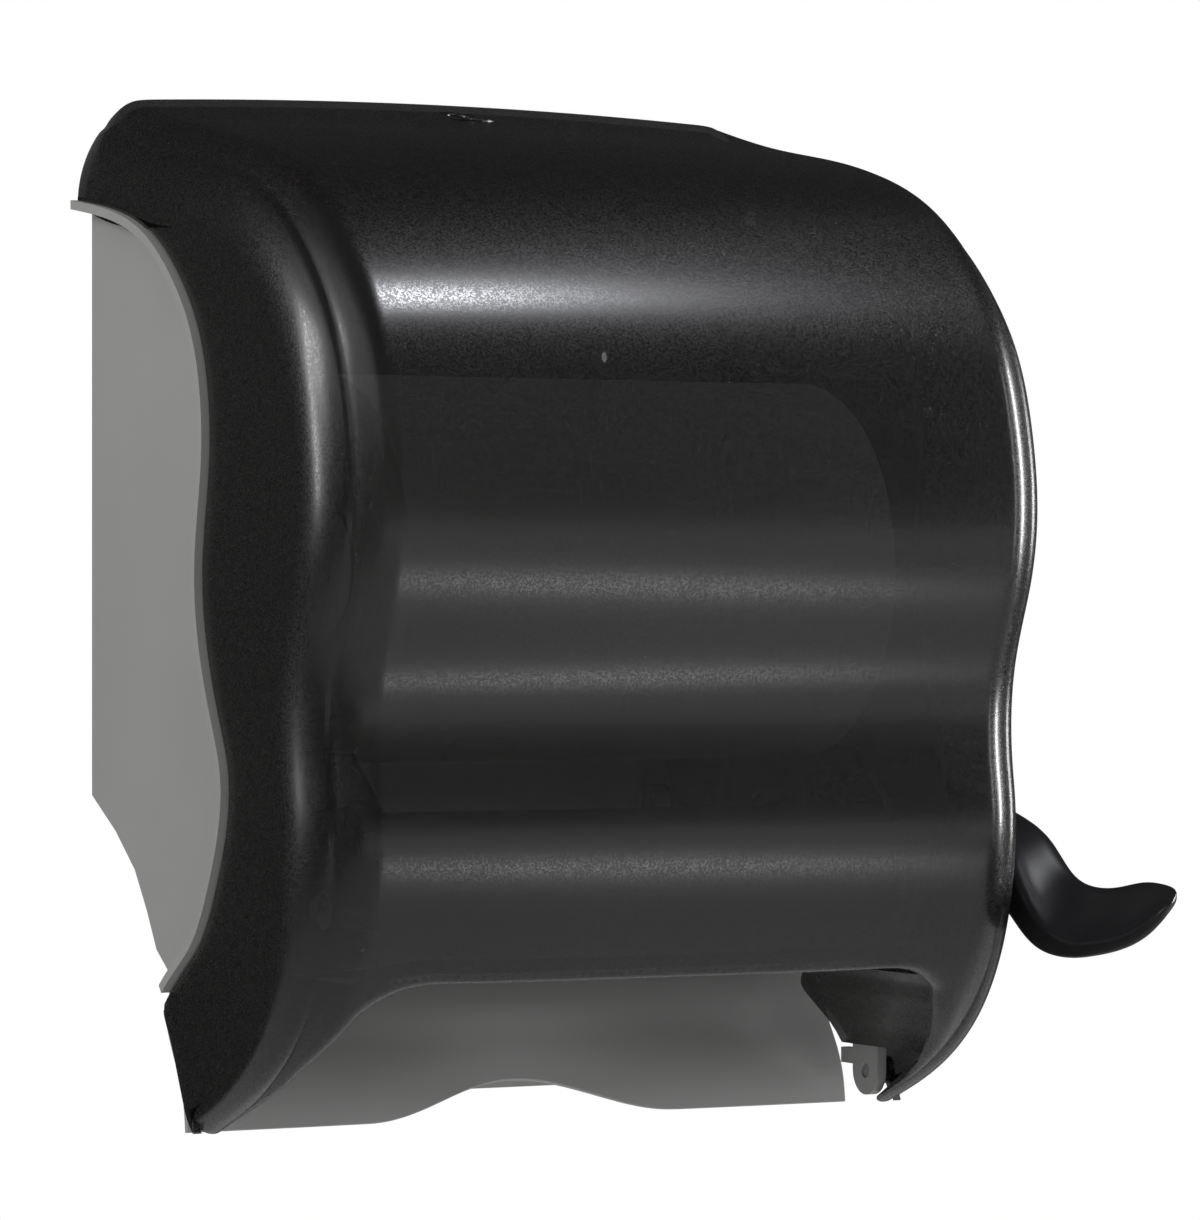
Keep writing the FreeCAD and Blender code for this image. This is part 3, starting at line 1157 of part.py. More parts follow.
def build_lever():
    """The arm and paddle through their sections, the hub and neck on the shaft, and the shaft's bore."""
    wires = [lever_section(row[0]) for row in LEVER_SECTIONS]
    arm = Part.makeLoft(wires, True, False)
    centre = side_point(*pivot)
    along = Vector(1, 0, 0)
    hub_start, hub_end = float(S.lever_hub_inner), float(S.lever_hub_outer)
    hub = Part.makeCylinder(float(S.lever_hub_radius), hub_end - hub_start, centre + Vector(hub_start, 0, 0), along)
    neck_start = float(neck_inner)
    neck = Part.makeCylinder(float(S.lever_neck_radius), hub_start - neck_start + PAST,
                             centre + Vector(neck_start, 0, 0), along)
    lever = arm.fuse(hub).fuse(neck)
    bore = Part.makeCylinder(float(S.lever_shaft_radius + S.fit_gap), float(shaft_end) - neck_start + PAST,
                             centre + Vector(neck_start - PAST, 0, 0), along)
    screw_hole = Part.makeCylinder(float(S.lever_screw_radius + S.fit_gap), 2 * hub_end, centre, along)
    recess = Part.makeCylinder(float(S.lever_screw_head + S.fit_gap), hub_end, centre + Vector(hub_end, 0, 0), along)
    return lever.cut(bore).cut(screw_hole).cut(recess)


node(shape_object("lever", build_lever()))


def bumper(name, edge_angle, side):
    """A rubber stop beside the edge of the sector where that edge comes to rest."""
    turn = math.radians(edge_angle)
    away = float(S.bumper_radius + S.seat_gap) * side
    depth = float(S.lever_depth) + float(S.bumper_reach) * math.cos(turn) - away * math.sin(turn)
    height = float(S.lever_height) + float(S.bumper_reach) * math.sin(turn) + away * math.cos(turn)
    return rod_x(name, (bracket_x[1], bracket_x[1] + S.bumper_length), depth, height, S.bumper_radius)


node(group("stop_bumpers", bumper("stop_bumper_rest", sector_high, 1),
           bumper("stop_bumper_pressed", sector_low - float(S.press_angle), -1)))


def return_spring():
    """A coil round the lever shaft; one leg bears on the side plate's peg and the other on the sector's."""
    wire, radius = float(S.return_wire_radius), float(S.return_coil_radius)
    plate_depth = float(S.plate_peg_depth - S.lever_depth)
    plate_height = float(S.plate_peg_height - S.lever_height)
    plate_reach = math.hypot(plate_depth, plate_height)
    clear = wire + float(S.seat_gap)
    plate_angle = math.degrees(math.atan2(plate_height, plate_depth)
                               - math.asin((float(S.plate_peg_radius) + clear) / plate_reach))
    peg_angle = float(S.sector_peg_angle) - math.degrees(
        math.asin((float(S.sector_peg_radius) + clear) / float(S.sector_peg_reach)))
    left, right = float(S.return_left), float(S.return_right)
    turns = float(S.return_turns) + (peg_angle - plate_angle) % 360 / 360
    spring = coil(radius, wire, right - left, turns)
    along = Vector(1, 0, 0)
    start = on_circle(1, peg_angle)
    laid = FreeCAD.Rotation(start, along.cross(start), along, "ZXY")
    spring.Placement = FreeCAD.Placement(Vector(left, 0, 0), laid)
    for angle, x in ((peg_angle, left), (plate_angle, right)):
        inner = on_circle(radius, angle) + Vector(x, 0, 0)
        outer = on_circle(float(S.spring_leg_reach), angle) + Vector(x, 0, 0)
        leg = Part.makeCylinder(wire, (outer - inner).Length, inner, outer - inner)
        spring = spring.fuse(leg).fuse(Part.makeSphere(wire, inner))
    return spring


node(shape_object("return_spring", return_spring(), side_point(*pivot)))

# ---------------------------------------------------------------- pinch roller

pinch_x = (-S.pinch_half_width, S.pinch_half_width)
node(cut("pinch_roller", rod_x("pinch_roller_body", pinch_x, pinch_depth, S.feed_height, S.pinch_radius),
         rod_x("pinch_roller_bore", (pinch_x[0] - PAST, pinch_x[1] + PAST), pinch_depth, S.feed_height,
               S.pinch_shaft_radius + S.fit_gap)))
node(rod_x("pinch_shaft", (-S.pinch_shaft_half_length, S.pinch_shaft_half_length), pinch_depth, S.feed_height,
           S.pinch_shaft_radius))

yoke_arm_x = (S.yoke_arm_inner, S.yoke_arm_inner + S.yoke_arm_thickness)
yoke_parts = []
yoke_pins = []
for side, x in both_sides(yoke_arm_x):
    arm_depth = (pinch_depth - S.yoke_arm_half_width, pinch_depth + S.yoke_arm_half_width)
    arm_outline = [(arm_depth[0], S.feed_height), (arm_depth[0], yoke_pivot_height),
                   (arm_depth[1], yoke_pivot_height), (arm_depth[1], S.feed_height)]
    holes = [(pinch_depth, S.feed_height, S.pinch_shaft_radius + S.running_gap),
             (pinch_depth, yoke_pivot_height, S.yoke_pin_radius + S.running_gap)]
    blank = fuse("yoke_arm_blank_" + side,
                 box("yoke_arm_flat_" + side, x, arm_depth, (S.feed_height, yoke_pivot_height)),
                 rod_x("yoke_arm_low_" + side, x, pinch_depth, S.feed_height, S.yoke_arm_half_width),
                 rod_x("yoke_arm_high_" + side, x, pinch_depth, yoke_pivot_height, S.yoke_arm_half_width))
    drills = [rod_x("yoke_drill_%s_%d" % (side, number), x, depth, height, radius)
              for number, (depth, height, radius) in enumerate(holes)]
    yoke_parts.append(cut("yoke_arm_" + side, blank, *drills))
for side, x in both_sides((S.yoke_arm_inner + S.fit_gap, bracket_x[1])):
    head_x = (bracket_x[1], bracket_x[1] + S.small_screw_head_height)
    if side == "left":
        head_x = (-head_x[1], -head_x[0])
    yoke_pins.append(fuse("yoke_pin_" + side, rod_x("yoke_pin_shank_" + side, x, pinch_depth, yoke_pivot_height,
                                                    S.yoke_pin_radius),
                          rod_x("yoke_pin_head_" + side, head_x, pinch_depth, yoke_pivot_height, S.yoke_pin_head)))
bar_front = pinch_depth + S.yoke_bar_thickness
yoke_parts.append(box("yoke_bar", (-yoke_arm_x[1], yoke_arm_x[1]), (pinch_depth, bar_front),
                      (S.yoke_bar_foot, S.yoke_bar_top)))
node(fuse("pinch_yoke", *yoke_parts))
node(group("yoke_pins", *yoke_pins))


def pinch_springs():
    """Two coils between the yoke's bar and the front guide."""
    length = float(S.bracket_front - bar_front - 2 * S.seat_gap)
    wire = float(S.pinch_wire_radius)
    springs = []
    for side in (-1, 1):
        spring = coil(S.pinch_spring_radius, wire, length - 2 * wire, S.pinch_turns)
        spring.rotate(Vector(), Vector(1, 0, 0), 90)
        height = float(S.yoke_bar_foot + S.yoke_bar_top) / 2
        spring.translate(Vector(side * float(S.pinch_spring_x), -float(bar_front + S.seat_gap) - wire, height))
        springs.append(spring)
    return Part.makeCompound(springs)


node(shape_object("pinch_springs", pinch_springs()))

# ---------------------------------------------------------------- roll, core and arms

roll_x = (-S.roll_half_width, S.roll_half_width)
core_radius = S.core_bore_radius + S.core_wall
node(cut("roll_core", rod_x("roll_core_body", roll_x, S.roll_depth, S.roll_height, core_radius),
         rod_x("roll_core_bore", (roll_x[0] - PAST, roll_x[1] + PAST), S.roll_depth, S.roll_height, S.core_bore_radius)))
node(cut("towel_roll", rod_x("towel_roll_body", roll_x, S.roll_depth, S.roll_height, S.roll_radius),
         rod_x("towel_roll_bore", (roll_x[0] - PAST, roll_x[1] + PAST), S.roll_depth, S.roll_height,
               core_radius + S.fit_gap)))

ear_low = (S.roll_height - S.arm_half_height - S.ear_thickness, S.roll_height - S.arm_half_height)
ear_high = (ear_low[1] + S.ear_spacing, ear_low[1] + S.ear_spacing + S.ear_thickness)
knuckle = (ear_low[1] + S.seat_gap, ear_low[1] + S.seat_gap + S.knuckle_height)
arm_top = S.roll_height + S.arm_half_height


def arm_coil(sign):
    """The coil that pushes an arm inward, between its knuckle and the upper ear."""
    wire = float(S.arm_wire_radius)
    foot = float(knuckle[1]) + float(S.seat_gap) + wire
    length = float(ear_high[0]) - float(S.seat_gap) - wire - foot
    spring = coil(S.arm_coil_radius, wire, length, S.arm_turns)
    spring.translate(Vector(sign * float(arm_x), -float(S.arm_pin_depth), foot))
    return spring


arm_pins = []
for side, sign in (("left", -1), ("right", 1)):
    middle = sign * arm_x
    base_depth = (S.chassis_wall, arm_seat)
    ear_depth = (S.chassis_wall, S.arm_pin_depth + S.ear_width / 2)
    bracket = [box("arm_base_" + side, (middle - S.base_width / 2, middle + S.base_width / 2), base_depth,
                   (arm_base_low, arm_base_high))]
    for level, z in (("low", ear_low), ("high", ear_high)):
        bracket.append(box("arm_ear_%s_%s" % (level, side), (middle - S.ear_width / 2, middle + S.ear_width / 2),
                           ear_depth, z))
    pin_hole = rod_z("arm_bracket_hole_" + side, middle, S.arm_pin_depth, (ear_low[0] - PAST, ear_high[1] + PAST),
                     S.arm_pin_radius + S.fit_gap)
    node(cut("arm_bracket_" + side, fuse("arm_bracket_body_" + side, *bracket), pin_hole,
             *screw_drills("arm_bracket_" + side)))
    arm_pins.append(fuse(
        "arm_pin_" + side,
        rod_z("arm_pin_shank_" + side, middle, S.arm_pin_depth, (ear_low[0], ear_high[1]), S.arm_pin_radius),
        rod_z("arm_pin_head_" + side, middle, S.arm_pin_depth, (ear_high[1], ear_high[1] + S.clip_thickness),
              2 * S.arm_pin_radius)))

    x = (middle - S.arm_thickness / 2, middle + S.arm_thickness / 2)
    tall = S.arm_pin_depth + S.knuckle_clear
    arm = [rod_z("roll_arm_knuckle_" + side, middle, S.arm_pin_depth, knuckle, S.knuckle_radius),
           box("roll_arm_root_" + side, x, (S.arm_pin_depth, tall), knuckle),
           box("roll_arm_plate_" + side, x, (tall, S.roll_depth), (ear_low[1] + S.seat_gap, arm_top)),
           rod_x("roll_arm_end_" + side, x, S.roll_depth, S.roll_height, S.arm_half_height - S.seat_gap)]
    node(cut("roll_arm_" + side, fuse("roll_arm_body_" + side, *arm),
             rod_z("roll_arm_bore_" + side, middle, S.arm_pin_depth, (knuckle[0] - PAST, knuckle[1] + PAST),
                   S.arm_pin_radius + S.running_gap)))

    flange_outer = sign * S.arm_inner
    flange_inner = sign * (S.roll_half_width + S.hub_gap)
    flange_x = (flange_inner, flange_outer) if sign > 0 else (flange_outer, flange_inner)
    cone = doc.addObject("Part::Cone", "roll_hub_cone_" + side)
    bind(cone, Radius1=S.hub_base_radius, Radius2=S.hub_tip_radius, Height=S.hub_length)
    place(cone, flange_inner, S.roll_depth, S.roll_height, FreeCAD.Rotation(Vector(0, 1, 0), -90 * sign))
    node(fuse("roll_hub_" + side, cone, rod_x("roll_hub_flange_" + side, flange_x, S.roll_depth, S.roll_height,
                                              S.hub_flange_radius)))
node(group("arm_pins", *arm_pins))
node(shape_object("arm_springs", Part.makeCompound([arm_coil(-1), arm_coil(1)])))

# ---------------------------------------------------------------- check and write

doc.recompute()
for thing in doc.Objects:
    bad = [state for state in thing.State if state in ("Invalid", "Error")]
    if bad:
        raise RuntimeError("%s: %s" % (thing.Name, bad))
for thing in NODES:
    shape = thing.Shape
    if shape.isNull() or not shape.isValid() or not shape.Solids:
        raise RuntimeError("bad shape: " + thing.Label)
    shape.exportStep("parts/%s.step" % thing.Label)
    extent = shape.BoundBox
    print("%-18s solids %2d  volume %10.0f  x %7.1f %7.1f  y %7.1f %7.1f  z %7.1f %7.1f" % (
        thing.Label, len(shape.Solids), shape.Volume, extent.XMin, extent.XMax, extent.YMin, extent.YMax,
        extent.ZMin, extent.ZMax))
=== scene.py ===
import json
import math

import bpy
import numpy as np
from bpy.props import FloatProperty, FloatVectorProperty, PointerProperty
from bpy.types import Operator, Panel, PropertyGroup
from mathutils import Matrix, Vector


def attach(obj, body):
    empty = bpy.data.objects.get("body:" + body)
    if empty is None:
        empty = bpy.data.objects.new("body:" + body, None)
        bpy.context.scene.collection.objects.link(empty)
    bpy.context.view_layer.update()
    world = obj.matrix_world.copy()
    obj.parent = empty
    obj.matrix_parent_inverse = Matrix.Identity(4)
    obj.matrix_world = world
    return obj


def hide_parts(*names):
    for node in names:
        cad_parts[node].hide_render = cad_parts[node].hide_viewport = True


bl_info = {
    "name": "Lever Towel Dispenser",
    "version": (1, 0, 0),
    "blender": (4, 5, 0),
    "location": "3D View > Sidebar > Dispenser",
    "description": "Builds a lever roll towel dispenser round its CAD frame",
    "category": "Add Mesh",
}

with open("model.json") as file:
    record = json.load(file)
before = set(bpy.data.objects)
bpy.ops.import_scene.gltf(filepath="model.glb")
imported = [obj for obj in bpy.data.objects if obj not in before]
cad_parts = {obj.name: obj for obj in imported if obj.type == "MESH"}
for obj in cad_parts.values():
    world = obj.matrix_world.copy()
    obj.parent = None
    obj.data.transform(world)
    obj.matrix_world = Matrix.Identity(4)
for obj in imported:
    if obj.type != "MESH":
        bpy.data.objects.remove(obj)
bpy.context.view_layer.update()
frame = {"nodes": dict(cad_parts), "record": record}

# Sizes below are in millimetres and places are (X, depth from the wall, height).
MM = 0.001

# Side outlines, as (depth, height).
COVER_SIDE = [
    (0, 199), (58.3, 184.7), (117, 173), (164, 154), (194, 128), (214, 100.6), (225, 68.6), (228.6, 35),
    (223.6, 6.5), (212.8, -23.4), (211, -55), (213.3, -74), (208.7, -103), (196, -130.5), (173, -158),
    (140.6, -179), (110, -192),
]
RIM_SIDE = [
    (0, 157), (29, 152.5), (72, 139.3), (95, 123.3), (113.2, 102.2), (122.2, 76.4), (123, 56), (116.8, 15.3),
    (118.6, -5), (132, -40.9), (140, -61), (138.2, -79.4), (129.3, -100), (115, -121), (99.6, -132.2),
    (86.7, -141.4),
]
COVER_TAIL = [(82.5, -147.5), (86.5, -155.4), (94, -168.5), (100.4, -181), (104.5, -187.5), (109.4, -191.8)]
# Where the cover's front outline and its rear edge answer each other.
COVER_PAIRS = [
    ((0, 199), (0, 158.2)), ((117, 173), (73, 140.5)), ((194, 128), (113, 104)), ((228.6, 35), (124, 50)),
    ((212.8, -23.4), (125, -17)), ((211, -55), (140, -55)), ((208.7, -103), (130, -101)),
    ((196, -130.5), (110, -127)), ((173, -158), (86.5, -155.4)), ((140.6, -179), (96.6, -174)),
    ((110, -192), (109.4, -191.8)),
]
# The towel opening's edge, as (X, height).
OPENING_EDGE = [
    (0, -130), (60, -130), (92, -129.6), (105, -130), (115.5, -133), (124, -139), (130.5, -148),
    (135, -159), (138, -170.5), (139.6, -181), (140.2, -192),
]
# Round of that edge over X.
LIP_ROUND = [(0, 4.4), (95, 4.4), (118, 8.5), (130, 7.5), (135, 5.5), (138, 3.5), (140, 1), (151, 0.5)]
CHUTE_SIDE = [(56.5, -140), (60, -145), (64.5, -152.5), (69.5, -161.5), (77, -173), (82, -186), (83, -194)]
# Lever sections: depth, lower edge near the cover and away, upper edge near and away, near side, far side.
LEVER_STATIONS = np.array([
    (77, -91, -91, -61, -61, 155.3, 171.8),
    (110, -94, -94, -64, -64, 155.3, 173),
    (140, -99, -99, -71.5, -71.5, 155, 175),
    (160, -107, -103, -82, -76.5, 155, 177),
    (178, -118, -107, -93, -84.5, 155, 178),
    (192, -127.5, -112, -106, -96.5, 155, 178),
    (207, -131.8, -114, -118.5, -101.3, 155, 178),
    (222, -132.3, -113, -122.8, -101, 155, 178),
    (240, -130.6, -110, -122, -98.3, 155, 178),
    (256, -127, -108.5, -119, -98.6, 157.5, 176),
    (268, -121, -108, -113, -100.5, 160.5, 173),
    (275, -113, -107, -107.8, -103.5, 164, 169.5),
])

HINGE = (104, -180)
LEVER_PIVOT = (77, -76)
ROLL_AXIS = (117, 15.4)
LOCK_DEPTH = 24

# Rings: low and high end along the axis, inner and outer radius, round of the corners.
LOCK_BOSS = (172.0, 191.5, 9.6, 16.0, 0.5)
HINGE_BOSS = (142.4, 148.6, 3.15, 5.4, 0.4)
LEVER_HUB = (155.1, 171.9, 5.1, 16.5, 1.6)
LEVER_NECK = (147.1, 156.0, 5.1, 11.0, 0.4)

# The chute's web and flange, as (depth, height), and half their length.
CHUTE_WEB = [(4.2, -140), (28, -143.5), (60, -147), (60, -149.5), (28, -146), (4.2, -142.6)]
CHUTE_FLANGE = [(3.05, -162), (5.5, -162), (5.5, -140.1), (3.05, -140.1)]
WEB_HALF = 103.5

SIDE_COLUMNS = 10  # of each of the cover's end faces, behind the round
WALL_CLEARANCE = 0.35  # least depth of the cover's rear edge
ROOF_DEPTHS = (20, 150)  # depths over which the roof turns into the front
TOE_DROPS = (70, 190)  # and drops below the middle over which the front turns into the toes

# Places on the stage, in metres.
CAMERA_PLACE = (-0.9786, -1.9831, 0.0)
CAMERA_AIM = (0.0759, 0.0, 0.0)


# ---------------------------------------------------------------- curves and surfaces

def smoothstep(low, high, value):
    """Rises from 0 at low to 1 at high as 3 t squared less 2 t cubed."""
    t = np.clip((value - low) / (high - low), 0, 1)
    return t * t * (3 - 2 * t)


def natural_cubic(knots, values, at):
    """A natural cubic through values at the knots.

    Each span is a cubic; the bends at the knots are solved so that the slope runs on without a break,
    and the bend is zero at both ends.
    """
    knots = np.asarray(knots, float)
    values = np.asarray(values, float).reshape(len(knots), -1)
    span = np.diff(knots)
    inner = np.arange(1, len(knots) - 1)
    system = np.eye(len(knots))
    system[inner, inner - 1] = span[:-1]
    system[inner, inner] = 2 * (span[:-1] + span[1:])
    system[inner, inner + 1] = span[1:]
    right = np.zeros_like(values)
    slope = np.diff(values, axis=0) / span[:, None]
    right[1:-1] = 6 * np.diff(slope, axis=0)
    bend = np.linalg.solve(system, right)
    k = np.clip(np.searchsorted(knots, at) - 1, 0, len(span) - 1)
    a = ((knots[k + 1] - at) / span[k])[:, None]
    b = 1 - a
    curve = a * values[k] + b * values[k + 1]
    return curve + ((a ** 3 - a) * bend[k] + (b ** 3 - b) * bend[k + 1]) * span[k][:, None] ** 2 / 6


class Curve:
    """A smooth curve through points, read by its length from the start."""

    def __init__(self, points, fine=1200):
        points = np.asarray(points, float)
        chord = np.concatenate([[0], np.cumsum(np.linalg.norm(np.diff(points, axis=0), axis=1))])
        self.points = natural_cubic(chord, points, np.linspace(0, chord[-1], fine))
        steps = np.linalg.norm(np.diff(self.points, axis=0), axis=1)
        self.lengths = np.concatenate([[0], np.cumsum(steps)])
        self.total = self.lengths[-1]
        tangent = np.gradient(self.points, self.lengths, axis=0)
        self.tangents = tangent / np.linalg.norm(tangent, axis=1)[:, None]

    def read(self, table, length):
        return np.stack([np.interp(length, self.lengths, table[:, k]) for k in range(table.shape[1])], -1)

    def at(self, length):
        return self.read(self.points, length)

    def outward(self, length):
        """The unit direction to the left of the curve, which is outward on a side outline."""
        along = self.read(self.tangents, length)
        return np.stack([-along[..., 1], along[..., 0]], -1)

    def nearest(self, point):
        return self.lengths[np.argmin(np.linalg.norm(self.points - np.asarray(point, float), axis=1))]


def to_row(x, depth, height):
    """Points in the row frame, in millimetres, from X, the depth from the wall and the height."""
    return np.stack(np.broadcast_arrays(x, -np.asarray(depth, float), height), -1).astype(float)


def grid_normals(grid):
    """Unit normals of a grid: the product of its slopes along the columns and along the rows."""
    down = np.gradient(grid, axis=0)
    across = np.gradient(grid, axis=1)
    normal = np.cross(across, down)
    return normal / np.maximum(np.linalg.norm(normal, axis=2), 1e-9)[..., None]


def grid_faces(rows, columns, start=0, wrap=(0, 0)):
    """The four-sided faces of a grid; wrap says whether its last row and its last column join the first."""
    index = np.arange(rows * columns).reshape(rows, columns) + start
    index = np.pad(index, [(0, join) for join in wrap], mode="wrap")
    return np.stack([index[:-1, :-1], index[1:, :-1], index[1:, 1:], index[:-1, 1:]], -1).reshape(-1, 4)


def outward_faces(points, faces):
    """The faces turned so that the closed form they bound has a positive volume."""
    a, b, c, d = (points[faces[:, k]] for k in range(4))
    volume = np.einsum("ij,ij->", a, np.cross(b, c)) + np.einsum("ij,ij->", a, np.cross(c, d))
    return faces[:, ::-1] if volume < 0 else faces


def closed_shell(outer, inner):
    """A shell between two grids of one shape: both grids, and strips that close it along the four edges."""
    rows, columns = outer.shape[:2]
    points = np.concatenate([outer.reshape(-1, 3), inner.reshape(-1, 3)])
    index = np.arange(rows * columns).reshape(rows, columns)
    loop = np.concatenate([index[0, :], index[1:, -1], index[-1, -2::-1], index[-2:0:-1, 0]])
    following = np.roll(loop, -1)
    shift = rows * columns
    strip = np.stack([loop, following, following + shift, loop + shift], -1)
    front = grid_faces(rows, columns)
    back = grid_faces(rows, columns, shift)[:, ::-1]
    return points, outward_faces(points, np.concatenate([front, back, strip]))


def turned(outline, axis, centre, steps=64):
    """A closed outline of (place along the axis, radius) carried round an axis through a centre.

    Axis 0 runs along X and axis 2 upright; the centre is (X, depth, height).
    """
    outline = np.asarray(outline, float)
    angle = np.linspace(0, 2 * np.pi, steps, endpoint=False)
    along = np.repeat(outline[:, :1], steps, axis=1)
    first = outline[:, 1:] * np.cos(angle)
    second = outline[:, 1:] * np.sin(angle)
    x, depth, height = centre
    if axis == 0:
        grid = to_row(x + along, depth + first, height + second)
    else:
        grid = to_row(x + first, depth + second, height + along)
    points = grid.reshape(-1, 3)
    return points, outward_faces(points, grid_faces(len(outline), steps, wrap=(1, 1)))


def rounded_outline(low, high, inner, outer, round_by, steps=5):
    """A ring's outline, low to high along its axis and inner to outer radius, with its corners rounded."""
    corners = [(low, inner, 180), (low, outer, 90), (high, outer, 0), (high, inner, 270)]
    points = []
    for along, radius, start in corners:
        centre = (along + math.copysign(round_by, (low + high) / 2 - along),
                  radius + math.copysign(round_by, (inner + outer) / 2 - radius))
        turn = np.radians(np.linspace(start + 90, start, steps))
        points.append(np.stack([centre[0] + round_by * np.cos(turn), centre[1] + round_by * np.sin(turn)], -1))
    return np.concatenate(points)


def drawn_across(loop, x0, x1):
    """A closed outline of (depth, height) drawn along X, with both ends closed by strips to its middle."""
    loop = np.asarray(loop, float)
    middle = loop.mean(axis=0)
    tip = middle + (loop - middle) * 0.001
    rings = [(x0, tip), (x0, loop), (x1, loop), (x1, tip)]
    grid = np.stack([to_row(x, ring[:, 0], ring[:, 1]) for x, ring in rings])
    faces = grid_faces(len(rings), len(loop), wrap=(0, 1))
    points = grid.reshape(-1, 3)
    return points, outward_faces(points, faces)


def joined(*forms):
    """Several closed forms as one list of points and one of faces."""
    points, faces, count = [], [], 0
    for form_points, form_faces in forms:
        points.append(form_points)
        faces.append(form_faces + count)
        count += len(form_points)
    return np.concatenate(points), np.concatenate(faces)


def linked(name, data):
    """A new object in the scene that holds the data."""
    thing = bpy.data.objects.new(name, data)
    bpy.context.scene.collection.objects.link(thing)
    return thing


def make_piece(name, form, body, slot, replaces, sharp=35.0):
    """A mesh object from points in millimetres, smooth but for edges over the sharp angle, on its CAD body."""
    points, faces = form
    mesh = bpy.data.meshes.new(name)
    mesh.from_pydata((points * MM).tolist(), [], faces.tolist())
    mesh.update()
    mesh.polygons.foreach_set("use_smooth", np.ones(len(faces), bool))
    mesh.set_sharp_from_angle(angle=math.radians(sharp))
    mesh.materials.append(material_for(slot))
    piece = linked(name, mesh)
    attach(piece, body)
    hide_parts(*replaces)
    return piece


# ---------------------------------------------------------------- shader groups

def new_group(name, inputs, outputs):
    """A shader node group with number inputs and outputs; returns it with its two end nodes."""
    group = bpy.data.node_groups.new(name, "ShaderNodeTree")
    for label, value in inputs:
        socket = group.interface.new_socket(name=label, in_out="INPUT", socket_type="NodeSocketFloat")
        socket.default_value = value
    for label in outputs:
        group.interface.new_socket(name=label, in_out="OUTPUT", socket_type="NodeSocketFloat")
    return group, group.nodes.new("NodeGroupInput"), group.nodes.new("NodeGroupOutput")


def feed(tree, socket, value):
    """Gives a socket a fixed value, or links it where the value is a socket."""
    if isinstance(value, (int, float, tuple)):
        socket.default_value = value
    else:
        tree.links.new(value, socket)


def math_node(tree, operation, *values):
    """A Math node; each value is a number or a socket."""
    node = tree.nodes.new("ShaderNodeMath")
    node.operation = operation
    for socket, value in zip(node.inputs, values):
        feed(tree, socket, value)
    return node.outputs[0]


def vector_node(tree, operation, *values):
    """A Vector Math node; each value is three numbers or a socket."""
    node = tree.nodes.new("ShaderNodeVectorMath")
    node.operation = operation
    for socket, value in zip(node.inputs, values):
        feed(tree, socket, value)
    return node


def noise_node(tree, scale, detail, vector=None):
    """Noise in the object's own coordinates, or along a vector; the scale is in cells to the metre."""
    node = tree.nodes.new("ShaderNodeTexNoise")
    node.inputs["Detail"].default_value = detail
    feed(tree, node.inputs["Scale"], scale)
    tree.links.new(vector or object_place(tree), node.inputs["Vector"])
    return node.outputs["Fac"]


def object_place(tree):
    """The place on the piece, in its own coordinates."""
    return tree.nodes.new("ShaderNodeTexCoord").outputs["Object"]


def moulded_grain_group():
    """The fine grain of a moulded face and the slow unevenness of its gloss."""
    group, start, end = new_group("moulded grain", [("Grain", 1500.0), ("Mottle", 12.0)], ["Height", "Mottle"])
    group.links.new(noise_node(group, start.outputs["Grain"], 2.0), end.inputs["Height"])
    group.links.new(noise_node(group, start.outputs["Mottle"], 3.0), end.inputs["Mottle"])
    return group


def pearl_group():
    """Pigment flakes: one random height to each small cell, and a mask of the few that catch the light."""
    group, start, end = new_group("pearl flakes", [("Cells", 1400.0), ("Share", 0.82)], ["Height", "Flake"])
    cells = group.nodes.new("ShaderNodeTexVoronoi")
    group.links.new(object_place(group), cells.inputs["Vector"])
    group.links.new(start.outputs["Cells"], cells.inputs["Scale"])
    parts = group.nodes.new("ShaderNodeSeparateColor")
    group.links.new(cells.outputs["Color"], parts.inputs[0])
    group.links.new(parts.outputs[0], end.inputs["Height"])
    flake = math_node(group, "GREATER_THAN", parts.outputs[1], start.outputs["Share"])
    group.links.new(flake, end.inputs["Flake"])
    return group


def drawn_metal_group():
    """Fine lines along X, as on drawn bar and rolled strip."""
    group, start, end = new_group("drawn metal", [("Lines", 900.0)], ["Height", "Streak"])
    stretch = group.nodes.new("ShaderNodeMapping")
    stretch.inputs["Scale"].default_value = (0.03, 1.0, 1.0)
    group.links.new(object_place(group), stretch.inputs["Vector"])
    lines = noise_node(group, start.outputs["Lines"], 2.0, stretch.outputs["Vector"])
    group.links.new(lines, end.inputs["Height"])
    group.links.new(noise_node(group, 60.0, 2.0, stretch.outputs["Vector"]), end.inputs["Streak"])
    return group


def wound_group():
    """Rings round the roll's axis, one to each few plies, made uneven by slow noise."""
    group, start, end = new_group("wound plies", [("Plies", 1400.0)], ["Height", "Ply"])
    axis = (0.0, -ROLL_AXIS[0] * MM, ROLL_AXIS[1] * MM)
    place = vector_node(group, "SUBTRACT", object_place(group), axis)
    flat = vector_node(group, "MULTIPLY", place.outputs[0], (0.0, 1.0, 1.0))
    radius = vector_node(group, "LENGTH", flat.outputs[0])
    waver = math_node(group, "MULTIPLY", noise_node(group, 90.0, 2.0), 0.0012)
    rings = math_node(group, "MULTIPLY", math_node(group, "ADD", radius.outputs["Value"], waver),
                      start.outputs["Plies"])
    ring = math_node(group, "FRACT", rings)
    group.links.new(ring, end.inputs["Height"])
    group.links.new(noise_node(group, 260.0, 3.0, flat.outputs[0]), end.inputs["Ply"])
    return group


